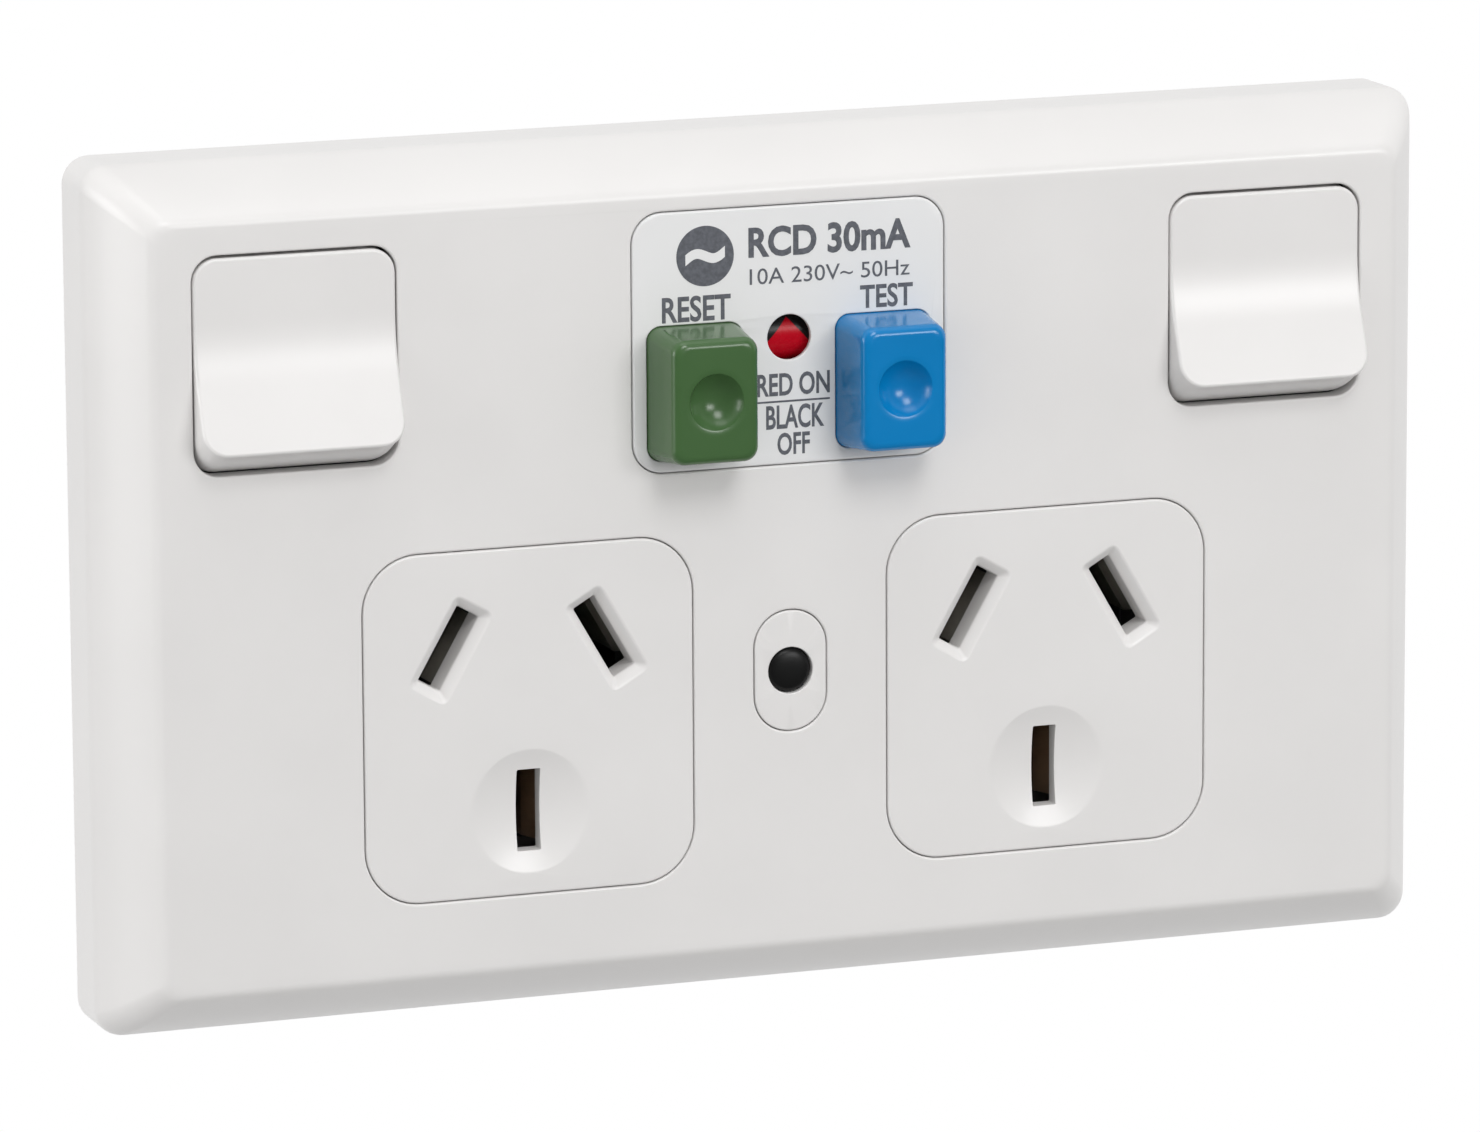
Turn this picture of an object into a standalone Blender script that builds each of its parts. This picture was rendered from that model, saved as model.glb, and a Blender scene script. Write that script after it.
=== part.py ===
"""Twin switched socket outlet with a residual-current trip module.

Metres, X to the right, Y into the wall, Z up. The origin is the middle of the wall plane
behind the cover plate: what has a negative Y stands in front of the wall, and the
mechanism housing sits behind it, in the wall box.
"""

from math import atan2, cos, hypot, pi, radians, sin, sqrt, tan

import bmesh
import bpy
from mathutils import Matrix, Vector

MM = 0.001
CLEARANCE = 0.3 * MM

# Cover plate
PLATE_WIDTH = 119.0 * MM
TOP_MARGIN = 5.675 * MM
INSERT_GAP = 5.025 * MM
BOTTOM_MARGIN = 10.45 * MM
PLATE_DEPTH = 12.0 * MM
PLATE_WALL = 2.0 * MM
PLATE_CORNER = 3.2 * MM
FACE_CORNER = 2.0 * MM
SIDE_DEPTH = 5.5 * MM
BEVEL_WIDTH = 4.2 * MM
BEVEL_CROWN = 0.45 * MM
FACE_EDGE = 0.4 * MM
SNAP_LENGTH = 10.0 * MM
SNAP_BITE = 0.75 * MM
SNAP_THICKNESS = 0.8 * MM
SNAP_SPREAD = 56.0 * MM

# Socket faces and their pin slots
SOCKET_PITCH = 46.5 * MM
SOCKET_WIDTH = 29.4 * MM
SOCKET_HEIGHT = 30.0 * MM
SOCKET_CORNER = 5.0 * MM
PIN_CIRCLE_RISE = 2.6 * MM
PIN_CIRCLE = 7.92 * MM
PIN_SPREAD = radians(30.0)
EARTH_DROP = 10.31 * MM
PIN_LENGTH = 20.0 * MM
PIN_THICKNESS = 1.6 * MM
SLOT_LENGTH = 7.0 * MM
SLOT_WIDTH = 2.1 * MM
LEAD_IN = 0.95 * MM
LEAD_DEPTH = 1.0 * MM
LEAD_OVERRUN = 0.5
DISH_RADIUS = 5.4 * MM
DISH_DEPTH = 0.9 * MM
DISH_SHARES = (1.2, 1.0, 0.75, 0.5, 0.25)
INSERT_WALL = 1.6 * MM
FLANGE_REACH = 1.6 * MM
FLANGE_THICKNESS = 1.5 * MM
EDGE_BREAK = 0.25 * MM

# Rocker switches
ROCKER_INSET = 16.25 * MM
ROCKER_RISE = 0.6 * MM
ROCKER_WIDTH = 17.65 * MM
ROCKER_HEIGHT = 18.4 * MM
ROCKER_CORNER = 2.2 * MM
ROCKER_TRAVEL = radians(21.0)
ROCKER_PIVOT_DEPTH = 3.7 * MM
ROCKER_WALL = 1.4 * MM
ROCKER_LIP_GAP = 0.45 * MM
LIP_LEAN = 0.1
ROCKER_SKIRT = 1.0 * MM
ROCKER_DIP = 2.8 * MM
HUB_WIDTH = 6.0 * MM
HUB_HEIGHT = 5.2 * MM
HUB_TAIL = 6.2 * MM
PIN_RADIUS = 1.0 * MM
EAR_THICKNESS = 2.0 * MM
EAR_RADIUS = 1.9 * MM
PLUNGER_RADIUS = 1.4 * MM
PLUNGER_REACH = 10.0 * MM
PLUNGER_LENGTH = 5.6 * MM
PLUNGER_ROUND = radians(75.0)
PLUNGER_SPRING_WIRE = 0.4 * MM
PLUNGER_SPRING_TURNS = 2.5
BLADE_WIDTH = 5.0 * MM
BLADE_LENGTH = 16.0 * MM
BLADE_THICKNESS = 0.8 * MM
BLADE_TRAVEL = radians(16.0)
RIVET_RADIUS = 1.5 * MM
RIVET_HEIGHT = 0.9 * MM

# Trip-module panel, its buttons and flag
PANEL_WIDTH = 28.2 * MM
PANEL_HEIGHT = 22.35 * MM
PANEL_CORNER = 2.8 * MM
PANEL_WALL = 1.5 * MM
PANEL_SKIRT = 0.9 * MM
BUTTON_X = 8.4 * MM
BUTTON_DROP = 4.6 * MM
BUTTON_WIDTH = 7.6 * MM
BUTTON_HEIGHT = 9.7 * MM
BUTTON_DRAFT = 0.2 * MM
BUTTON_CORNER = 1.2 * MM
BUTTON_EDGE = 0.7 * MM
EDGE_SHARE = 0.3
BUTTON_PROUD = 5.3 * MM
BUTTON_TRAVEL = 2.2 * MM
DIMPLE_RADIUS = 2.35 * MM
DIMPLE_DEPTH = 0.5 * MM
COLLAR_REACH = 1.0 * MM
COLLAR_THICKNESS = 1.2 * MM
STEM_WIDTH = 3.6 * MM
STEM_REACH = 1.5 * MM
BUTTON_SPRING_RADIUS = 2.9 * MM
BUTTON_SPRING_WIRE = 0.5 * MM
BUTTON_SPRING_TURNS = 4
WINDOW_DROP = 0.2 * MM
WINDOW_RADIUS = 1.93 * MM
WINDOW_WALL = 0.7 * MM
FLAG_RADIUS = 2.6 * MM
FLAG_LENGTH = 4.4 * MM
FLAG_SHAFT_RADIUS = 0.7 * MM
FLAG_EAR_THICKNESS = 1.2 * MM

# Obround cap over the cover screw
CAP_WIDTH = 6.8 * MM
CAP_HEIGHT = 10.7 * MM
CAP_RISE = 2.5 * MM
CAP_DEPTH = 4.4 * MM
CAP_WALL = 1.1 * MM
PLUG_RADIUS = 1.9 * MM
PLUG_LENGTH = 2.6 * MM
PLUG_CROWN = 0.6
SCREW_RADIUS = 1.5 * MM
SCREW_HEAD_RADIUS = 2.7 * MM
SCREW_HEAD_HEIGHT = 1.9 * MM
SCREW_CROWN = 0.7
SCREW_RIM = 0.6
SCREW_POINT = 0.6
COVER_SCREW_REACH = 5.0 * MM

# Mounting frame
FRAME_THICKNESS = 2.5 * MM
FRAME_REBATE = 1.3 * MM
FRAME_LEDGE = 1.4 * MM
MOUNT_CENTRES = 84.0 * MM
MOUNT_SLOT_WIDTH = 3.9 * MM
MOUNT_SLOT_LENGTH = 6.5 * MM
SOCKET_LEDGE = 2.9 * MM

# Rear housing and contact carrier
HOUSING_ROOM = 1.12 * MM
HOUSING_TOP_INSET = 5.25 * MM
HOUSING_BOTTOM_INSET = 5.75 * MM
HOUSING_DEPTH = 30.0 * MM
HOUSING_WALL = 2.0 * MM
HOUSING_CORNER = 3.0 * MM
WING_REACH = 6.75 * MM
WING_DROP = 12.0 * MM
WING_DEPTH = 14.0 * MM
POST_RADIUS = 3.3 * MM
LOWER_POST_X = 32.0 * MM
UPPER_POST_X = 22.0 * MM
CARRIER_THICKNESS = 2.0 * MM
LEDGE_WIDTH = 1.5 * MM

# Contacts and terminals
CLIP_LEAF = 0.7 * MM
CLIP_WIDTH = 6.6 * MM
CLIP_FLARE = 0.8 * MM
CLIP_MOUTH = 2.0 * MM
CLIP_SETBACK = 1.5 * MM
STRIP_THICKNESS = 0.8 * MM
STRIP_WIDTH = 4.0 * MM
NEUTRAL_STRIP_DROP = 0.2 * MM
ACTIVE_STRIP_RISE = 7.74 * MM
TERMINAL_PITCH = 14.0 * MM
TERMINAL_SIZE = 8.0 * MM
TERMINAL_LENGTH = 12.0 * MM
TERMINAL_RISE = 8.8 * MM
WIRE_HOLE_RADIUS = 1.8 * MM
WIRE_HOLE_DEPTH = 8.0 * MM
CLAMP_SCREW_RADIUS = 1.6 * MM

# Trip module behind the frame
BOARD_WIDTH = 31.4 * MM
BOARD_THICKNESS = 1.6 * MM
BOARD_DROP = 8.0 * MM
TRIP_TRAVEL = 2.5 * MM
CARRIAGE_WIDTH = 8.4 * MM
CARRIAGE_HEIGHT = 9.0 * MM
CARRIAGE_LENGTH = 5.5 * MM
GROOVE_DEPTH = 1.2 * MM
GUIDE_WALL = 1.4 * MM
CONTACT_SPREAD = 4.8 * MM
CARRIAGE_SPRING_RADIUS = 0.9 * MM
CARRIAGE_SPRING_WIRE = 0.4 * MM
CARRIAGE_SPRING_TURNS = 6
TRIP_CONTACT = 2.1 * MM
LEVER_X = -1.5 * MM
LEVER_RISE = 4.6 * MM
LEVER_NOSE_ARM = 5.5 * MM
LEVER_PUSH_ARM = 4.7 * MM
LEVER_WIDTH = 1.8 * MM
LEVER_HUB_RADIUS = 2.2 * MM
LEVER_PIN_RADIUS = 1.0 * MM
COIL_RADIUS = 4.2 * MM
COIL_LENGTH = 10.0 * MM
ARMATURE_RADIUS = 1.2 * MM
YOKE_PLATE = 1.0 * MM
YOKE_WIDTH = 7.6 * MM
CORE_X = 7.5 * MM
CORE_DROP = 1.7 * MM
CORE_RADIUS = 5.4 * MM
CORE_BORE = 3.3 * MM
CORE_HEIGHT = 4.4 * MM
WINDING_BUILD = 0.8 * MM
CONDUCTOR_RADIUS = 0.8 * MM
CONDUCTOR_LENGTH = 14.0 * MM
TEST_STRIP_WIDTH = 4.4 * MM
TEST_STRIP_THICKNESS = 0.7 * MM
RESISTOR_X = -9.0 * MM
RESISTOR_RISE = 2.0 * MM
RESISTOR_RADIUS = 1.2 * MM
RESISTOR_LENGTH = 6.0 * MM
RESISTOR_LEAD = 1.5 * MM
RESISTOR_WIRE = 0.3 * MM

# Heights worked out from the sizes above: the inserts and the gaps between them make up the plate
PLATE_HEIGHT = TOP_MARGIN + PANEL_HEIGHT + INSERT_GAP + SOCKET_HEIGHT + BOTTOM_MARGIN
PANEL_Z = PLATE_HEIGHT / 2 - TOP_MARGIN - PANEL_HEIGHT / 2
SOCKET_Z = -PLATE_HEIGHT / 2 + BOTTOM_MARGIN + SOCKET_HEIGHT / 2
PIN_CIRCLE_Z = SOCKET_Z + PIN_CIRCLE_RISE
LIVE_Z = PIN_CIRCLE_Z + PIN_CIRCLE * sin(PIN_SPREAD)
EARTH_Z = PIN_CIRCLE_Z - EARTH_DROP
CAP_Z = SOCKET_Z + CAP_RISE
ROCKER_Z = PANEL_Z + ROCKER_RISE
BUTTON_Z = PANEL_Z - BUTTON_DROP
WINDOW_Z = PANEL_Z - WINDOW_DROP
HOUSING_TOP = PLATE_HEIGHT / 2 - HOUSING_TOP_INSET
HOUSING_BOTTOM = -PLATE_HEIGHT / 2 + HOUSING_BOTTOM_INSET
INNER_TOP = HOUSING_TOP - HOUSING_WALL
INNER_BOTTOM = HOUSING_BOTTOM + HOUSING_WALL
UPPER_POST_Z = INNER_TOP - POST_RADIUS
LOWER_POST_Z = INNER_BOTTOM + POST_RADIUS
WING_BOTTOM = ROCKER_Z - WING_DROP
CARRIER_TOP = WING_BOTTOM - HOUSING_WALL
NEUTRAL_STRIP_Z = SOCKET_Z - NEUTRAL_STRIP_DROP
ACTIVE_STRIP_Z = LIVE_Z + ACTIVE_STRIP_RISE
TERMINAL_Z = HOUSING_BOTTOM + TERMINAL_RISE
BOARD_BOTTOM = BUTTON_Z - BOARD_DROP
LEVER_Z = BUTTON_Z + LEVER_RISE
TRIP_AXIS_Z = LEVER_Z + LEVER_PUSH_ARM
CORE_Z = BUTTON_Z - CORE_DROP
RESISTOR_Z = TRIP_AXIS_Z + RESISTOR_RISE

# Widths worked out from the sizes above: the housing goes round the outermost pin clips
ROCKER_X = PLATE_WIDTH / 2 - ROCKER_INSET
WING_SPAN = 2 * (ROCKER_X + WING_REACH)
LIVE_REACH = PIN_CIRCLE * cos(PIN_SPREAD)
CLIP_GRIP = PIN_THICKNESS / 2 + CLEARANCE / 2
CLIP_REACH = (CLIP_GRIP + CLIP_LEAF + CLIP_FLARE) * cos(PIN_SPREAD) + CLIP_WIDTH / 2 * sin(PIN_SPREAD)
INNER_HALF_WIDTH = SOCKET_PITCH / 2 + LIVE_REACH + CLIP_REACH + HOUSING_ROOM
HOUSING_WIDTH = 2 * (INNER_HALF_WIDTH + HOUSING_WALL)

# Depths worked out from the sizes above
FRONT = -PLATE_DEPTH
FRAME_FRONT = -FRAME_THICKNESS
SEAT = FRAME_FRONT - CLEARANCE
HOUSING_FLOOR = HOUSING_DEPTH - HOUSING_WALL
STRIP_FRONT = FRONT + PIN_LENGTH + CLIP_LEAF
STRIP_BACK = STRIP_FRONT + STRIP_THICKNESS
CARRIER_FRONT = STRIP_BACK + CLEARANCE
CARRIER_BACK = CARRIER_FRONT + CARRIER_THICKNESS
ROCKER_PIVOT_Y = FRONT + ROCKER_PIVOT_DEPTH
BLADE_FRONT = ROCKER_PIVOT_Y + PLUNGER_REACH + CLEARANCE
BLADE_PIVOT_Y = BLADE_FRONT + BLADE_THICKNESS / 2
BLADE_CONTACT = BLADE_LENGTH / 2 - RIVET_RADIUS - 2 * CLEARANCE
BOARD_BACK = HOUSING_FLOOR - CLEARANCE
BOARD_FRONT = BOARD_BACK - BOARD_THICKNESS
ON_BOARD = BOARD_FRONT - CLEARANCE
STEM_END = STEM_REACH
CARRIAGE_FRONT = STEM_END + BUTTON_TRAVEL + TRIP_TRAVEL + CLEARANCE
CARRIAGE_BACK = CARRIAGE_FRONT + CARRIAGE_LENGTH
CARRIAGE_SIDE = -BUTTON_X + CARRIAGE_WIDTH / 2
GUIDE_BASE = ON_BOARD - GUIDE_WALL
TRIP_LEVEL = CARRIAGE_FRONT + CARRIAGE_LENGTH / 2
FLAG_AXIS_Y = FRONT + WINDOW_WALL + CLEARANCE + FLAG_RADIUS
BORE_FIT = 0.2 * MM

# Finishes: base colour, roughness, metallic
WHITE_PLASTIC = ((0.74, 0.73, 0.72), 0.32, 0.0)
COOL_WHITE_PLASTIC = ((0.75, 0.75, 0.75), 0.34, 0.0)
GREEN_PLASTIC = ((0.055, 0.125, 0.05), 0.35, 0.0)
BLUE_PLASTIC = ((0.0, 0.21, 0.49), 0.3, 0.0)
RED_PLASTIC = ((0.41, 0.004, 0.01), 0.35, 0.0)
BLACK_PLASTIC = ((0.011, 0.011, 0.011), 0.35, 0.0)
GREY_PLASTIC = ((0.33, 0.34, 0.35), 0.5, 0.0)
BRASS = ((0.72, 0.5, 0.2), 0.3, 1.0)
COPPER = ((0.75, 0.33, 0.18), 0.35, 1.0)
ZINC_STEEL = ((0.6, 0.61, 0.62), 0.35, 1.0)
BOARD_GREEN = ((0.02, 0.13, 0.05), 0.45, 0.0)
FERRITE = ((0.05, 0.05, 0.055), 0.6, 0.0)

AXIS_X, AXIS_Y, AXIS_Z = 0, 1, 2
SHARP_ANGLE = radians(30.0)
COIL_POINTS = 8
BEVEL_STEPS = 5
END_STEPS = 4
ROUND_STEPS = 3
EAR_STEPS = 5
FINE_SIDES = 24


def clear_scene():
    """Remove every object so that the part starts from nothing."""
    for old in list(bpy.data.objects):
        bpy.data.objects.remove(old, do_unlink=True)


def rounded(width, height, radius, centre=(0.0, 0.0), steps=3):
    """Rectangle outline with round corners."""
    points = []
    for corner in range(4):
        right = 1 if corner in (0, 3) else -1
        upper = 1 if corner in (0, 1) else -1
        middle_a = centre[0] + right * (width / 2 - radius)
        middle_b = centre[1] + upper * (height / 2 - radius)
        for step in range(steps + 1):
            angle = (corner + step / steps) * pi / 2
            points.append((middle_a + radius * cos(angle), middle_b + radius * sin(angle)))
    return points


def circle(radius, centre=(0.0, 0.0), sides=12):
    """Regular outline standing for a circle."""
    turns = [2 * pi * side / sides for side in range(sides)]
    return [(centre[0] + radius * cos(turn), centre[1] + radius * sin(turn)) for turn in turns]


def rectangle(low_a, high_a, low_b, high_b):
    """Plain rectangle outline between two corners."""
    return [(low_a, low_b), (high_a, low_b), (high_a, high_b), (low_a, high_b)]


def place(point, position, axis):
    """Point of an outline, set at a position along the axis that it is square to."""
    if axis == AXIS_X:
        return (position, point[0], point[1])
    if axis == AXIS_Y:
        return (point[0], position, point[1])
    return (point[0], point[1], position)


def loft(sections, axis=AXIS_Y, looped=False):
    """Closed body through outlines of one point count, each with its place on the axis.
    A looped body runs back to its first outline and has no end faces."""
    shape = bmesh.new()
    rings = []
    for position, outline in sections:
        rings.append([shape.verts.new(place(point, position, axis)) for point in outline])
    for ring, following in zip(rings, rings[1:] + rings[:1] if looped else rings[1:]):
        for index, corner in enumerate(ring):
            after = (index + 1) % len(ring)
            shape.faces.new((corner, ring[after], following[after], following[index]))
    if not looped:
        shape.faces.new(rings[0])
        shape.faces.new(rings[-1])
    bmesh.ops.recalc_face_normals(shape, faces=shape.faces)
    return shape


def prism(outline, start, end, axis=AXIS_Y):
    """Outline drawn out straight along an axis."""
    return loft([(start, outline), (end, outline)], axis)


def turned(profile, centre, axis=AXIS_Y, sides=12):
    """Turned body from (position, radius) pairs about a centre line."""
    return loft([(position, circle(radius, centre, sides)) for position, radius in profile], axis)


def block(low_x, high_x, low_y, high_y, low_z, high_z):
    """Rectangular body between two corners."""
    return prism(rectangle(low_x, high_x, low_z, high_z), low_y, high_y)


def turn_about(shape, angle, axis, centre):
    """Turn a shape about an axis through a point."""
    matrix = Matrix.Rotation(angle, 3, axis)
    bmesh.ops.rotate(shape, cent=Vector(centre), matrix=matrix, verts=shape.verts)
    return shape


def paint(piece, finish):
    """Give a piece its own material."""
    colour, roughness, metallic = finish
    material = bpy.data.materials.new(piece.name)
    material.use_nodes = True
    shader = material.node_tree.nodes["Principled BSDF"]
    shader.inputs["Base Color"].default_value = (*colour, 1.0)
    shader.inputs["Roughness"].default_value = roughness
    shader.inputs["Metallic"].default_value = metallic
    piece.data.materials.append(material)


def link(name, data):
    """Object in the scene for a mesh or a curve."""
    piece = bpy.data.objects.new(name, data)
    bpy.context.scene.collection.objects.link(piece)
    return piece


def solid(name, shape, finish):
    """Named piece from a finished shape."""
    mesh = bpy.data.meshes.new(name)
    shape.to_mesh(mesh)
    shape.free()
    mesh.shade_smooth()
    mesh.set_sharp_from_angle(angle=SHARP_ANGLE)
    piece = link(name, mesh)
    paint(piece, finish)
    return piece


def shape_with(piece, operation, shapes):
    """Join shapes to a piece, or cut them from it, with a Boolean modifier."""
    name = f"{piece.name}_{operation.lower()}_{len(piece.modifiers)}"
    mesh = bpy.data.meshes.new(name)
    whole = bmesh.new()
    for shape in shapes:
        shape.to_mesh(mesh)
        shape.free()
        whole.from_mesh(mesh)
    whole.to_mesh(mesh)
    whole.free()
    tool = link(name, mesh)
    tool.parent = piece
    tool.hide_render = True
    tool.display_type = "WIRE"
    modifier = piece.modifiers.new(name, "BOOLEAN")
    modifier.operation = operation
    modifier.solver = "EXACT"
    modifier.object = tool


def cut(piece, *shapes):
    """Cut separate shapes out of a piece."""
    shape_with(piece, "DIFFERENCE", shapes)


def join(piece, *shapes):
    """Add separate shapes to a piece."""
    shape_with(piece, "UNION", shapes)


def pivot_empty(name, location, tilt=0.0):
    """Empty on a joint's axis, which carries the pieces that move together."""
    empty = link(name, None)
    empty.location = location
    empty.rotation_euler.x = tilt
    return empty


def hang(piece, empty):
    """Let a piece that was drawn about the origin ride on an empty."""
    piece.parent = empty


def ride(piece, empty):
    """Let a piece that was drawn in place ride on an unturned empty."""
    shift = Matrix.Translation(-Vector(empty.location))
    for drawn in (piece, *piece.children):
        drawn.data.transform(shift)
    piece.parent = empty


def helix(name, centre, start, end, radius, wire, turns, finish):
    """Coil spring along Y, as one unbroken round wire."""
    curve = bpy.data.curves.new(name, "CURVE")
    curve.dimensions = "3D"
    curve.bevel_depth = wire / 2
    curve.bevel_resolution = 1
    curve.use_fill_caps = True
    spline = curve.splines.new("POLY")
    steps = round(turns * COIL_POINTS)
    spline.points.add(steps)
    first = start + wire / 2
    pitch = (end - start - wire) / steps
    for step, point in enumerate(spline.points):
        angle = 2 * pi * step / COIL_POINTS
        place_x = centre[0] + radius * cos(angle)
        place_z = centre[1] + radius * sin(angle)
        point.co = (place_x, first + pitch * step, place_z, 1.0)
    piece = link(name, curve)
    paint(piece, finish)
    return piece


def bevel_profile():
    """Depth in front of the wall and inset of the plate's outer surface, from wall to face."""
    rise = PLATE_DEPTH - SIDE_DEPTH
    length = hypot(rise, BEVEL_WIDTH)
    pairs = [(0.0, 0.0), (SIDE_DEPTH, 0.0)]
    for step in range(1, BEVEL_STEPS):
        share = step / BEVEL_STEPS
        bulge = 4 * share * (1 - share) * BEVEL_CROWN
        depth = SIDE_DEPTH + rise * share + bulge * BEVEL_WIDTH / length
        pairs.append((depth, BEVEL_WIDTH * share - bulge * rise / length))
    pairs.append((PLATE_DEPTH - FACE_EDGE * EDGE_SHARE, BEVEL_WIDTH - FACE_EDGE * EDGE_SHARE))
    pairs.append((PLATE_DEPTH, BEVEL_WIDTH + FACE_EDGE))
    return pairs


def plate_outline(inset):
    """Outline of the cover plate drawn in by an inset."""
    share = min(inset / BEVEL_WIDTH, 1.0)
    corner = PLATE_CORNER + (FACE_CORNER - PLATE_CORNER) * share
    return rounded(PLATE_WIDTH - 2 * inset, PLATE_HEIGHT - 2 * inset, corner, steps=4)


def build_cover_plate():
    """White cover plate: bevelled shell, six apertures, screw pocket and snap ribs."""
    outer = [(-depth, plate_outline(inset)) for depth, inset in reversed(bevel_profile())]
    rise = PLATE_DEPTH - SIDE_DEPTH
    slope = BEVEL_WIDTH / rise
    lean = hypot(1.0, slope)
    inner_inset = PLATE_WALL * lean + slope * (rise - PLATE_WALL)
    inner = [
        (0.0, plate_outline(PLATE_WALL)),
        (-SIDE_DEPTH + PLATE_WALL * slope / 2, plate_outline(PLATE_WALL)),
        (FRONT + PLATE_WALL, plate_outline(inner_inset)),
    ]
    plate = solid("cover_plate", loft(outer + inner), WHITE_PLASTIC)
    join(
        plate,
        prism(
            rounded(CAP_WIDTH + 2 * CAP_WALL, CAP_HEIGHT + 2 * CAP_WALL,
                    CAP_WIDTH / 2 + CAP_WALL, (0.0, CAP_Z)),
            FRONT + PLATE_WALL / 2, SEAT,
        ),
    )
    edge = PLATE_HEIGHT / 2 - PLATE_WALL
    snaps = []
    for side in (-1, 1):
        for level in (-1, 1):
            middle = side * SNAP_SPREAD / 2
            ends = sorted((level * (edge - SNAP_BITE), level * (edge + PLATE_WALL / 2)))
            snaps.append(block(middle - SNAP_LENGTH / 2, middle + SNAP_LENGTH / 2,
                               -SNAP_THICKNESS - CLEARANCE, -CLEARANCE, *ends))
    join(plate, *snaps)
    through = (FRONT - PLATE_WALL, FRONT + 2 * PLATE_WALL)
    holes = [prism(rounded(PANEL_WIDTH, PANEL_HEIGHT, PANEL_CORNER, (0.0, PANEL_Z)), *through)]
    for side in (-1, 1):
        middle = (side * SOCKET_PITCH / 2, SOCKET_Z)
        holes.append(prism(rounded(SOCKET_WIDTH, SOCKET_HEIGHT, SOCKET_CORNER, middle), *through))
        middle = (side * ROCKER_X, ROCKER_Z)
        holes.append(prism(rounded(ROCKER_WIDTH, ROCKER_HEIGHT, ROCKER_CORNER, middle), *through))
    pocket = rounded(CAP_WIDTH, CAP_HEIGHT, CAP_WIDTH / 2 - BORE_FIT, (0.0, CAP_Z))
    holes.append(prism(pocket, FRONT - PLATE_WALL, SEAT - FLANGE_THICKNESS))
    cut(plate, *holes)
    cut(plate, prism(circle(SCREW_RADIUS + BORE_FIT, (0.0, CAP_Z)), FRONT, 0.0))


def insert_cup(name, width, height, corner, centre, front_wall, side_wall, finish):
    """Flush insert: a cup with a rear flange that stands on the mounting frame."""
    outer_width = width - 2 * CLEARANCE
    outer_height = height - 2 * CLEARANCE
    outer_corner = corner - CLEARANCE

    def ring(growth):
        return rounded(outer_width + 2 * growth, outer_height + 2 * growth,
                       outer_corner + growth, centre)

    flange_front = SEAT - FLANGE_THICKNESS
    sections = [
        (FRONT, ring(-EDGE_BREAK)),
        (FRONT + EDGE_BREAK, ring(0.0)),
        (flange_front, ring(0.0)),
        (flange_front, ring(FLANGE_REACH)),
        (SEAT, ring(FLANGE_REACH)),
        (SEAT, ring(-side_wall)),
        (FRONT + front_wall, ring(-side_wall)),
    ]
    return solid(name, loft(sections), finish)


def slot_cutter(centre, angle, back):
    """Pin slot with its lead-in chamfer, cut from in front of the face."""
    lead = LEAD_DEPTH * LEAD_OVERRUN
    wide = 2 * LEAD_IN * (1 + LEAD_OVERRUN)
    mouth = rectangle(*spread(SLOT_WIDTH + wide), *spread(SLOT_LENGTH + wide))
    throat = rectangle(*spread(SLOT_WIDTH), *spread(SLOT_LENGTH))
    shape = loft([(FRONT - lead, mouth), (FRONT + LEAD_DEPTH, throat), (back, throat)])
    turn_about(shape, angle, "Y", (0.0, 0.0, 0.0))
    bmesh.ops.translate(shape, vec=(centre[0], 0.0, centre[1]), verts=shape.verts)
    return shape


def spread(size):
    """Lower and upper end of a size about zero."""
    return (-size / 2, size / 2)


def dish_cutter(centre, radius, depth, face, sides=FINE_SIDES):
    """Shallow round dish in a face."""
    profile = [(face + depth * (1 - share * share), radius * share) for share in DISH_SHARES]
    return turned(profile, centre, AXIS_Y, sides)


def build_socket_face(side, name):
    """Socket face with two angled live slots and an earth slot in a dish."""
    middle = side * SOCKET_PITCH / 2
    face = insert_cup(name, SOCKET_WIDTH, SOCKET_HEIGHT, SOCKET_CORNER, (middle, SOCKET_Z),
                      PLATE_WALL, INSERT_WALL, WHITE_PLASTIC)
    cut(face, dish_cutter((middle, EARTH_Z), DISH_RADIUS, DISH_DEPTH, FRONT))
    back = FRONT + 2 * PLATE_WALL
    cut(
        face,
        slot_cutter((middle - LIVE_REACH, LIVE_Z), PIN_SPREAD, back),
        slot_cutter((middle + LIVE_REACH, LIVE_Z), -PIN_SPREAD, back),
        slot_cutter((middle, EARTH_Z), 0.0, back),
    )


def rocker_profile(pull, drop, thin, skirt):
    """Rocker outline (y, z) about its pivot in mid travel, drawn in at the ends by pull,
    lowered by drop at the front, offset inwards by thin and ending at skirt behind the pivot."""
    half = ROCKER_TRAVEL / 2
    reach = ROCKER_HEIGHT / 2 - ROCKER_LIP_GAP - pull - thin
    depth = ROCKER_PIVOT_DEPTH - thin - drop
    lip_angle = atan2(depth, reach) + half
    lip = hypot(depth, reach)
    wall_level = ROCKER_PIVOT_DEPTH - PLATE_WALL
    end_radius = hypot(ROCKER_HEIGHT / 2 - CLEARANCE, wall_level) - pull - thin
    skirt_angle = -skirt / end_radius
    first = lip_angle - LIP_LEAN
    end_angles = [first + (skirt_angle - first) * step / END_STEPS for step in range(END_STEPS + 1)]
    upper = [(end_radius * sin(angle), end_radius * cos(angle)) for angle in reversed(end_angles)]
    upper.append((lip * sin(lip_angle), lip * cos(lip_angle)))
    slope = tan(half)
    rest = depth / cos(half)
    for share in (1.0, 0.5):
        out = rest + slope * ROCKER_DIP * (1 + share * share) / 2
        upper.append((out, ROCKER_DIP * share))
    middle = [(rest + slope * ROCKER_DIP / 2, 0.0)]
    lower = [(out, -rise) for out, rise in reversed(upper)]
    return [(-out, rise) for out, rise in upper + middle + lower]


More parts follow.
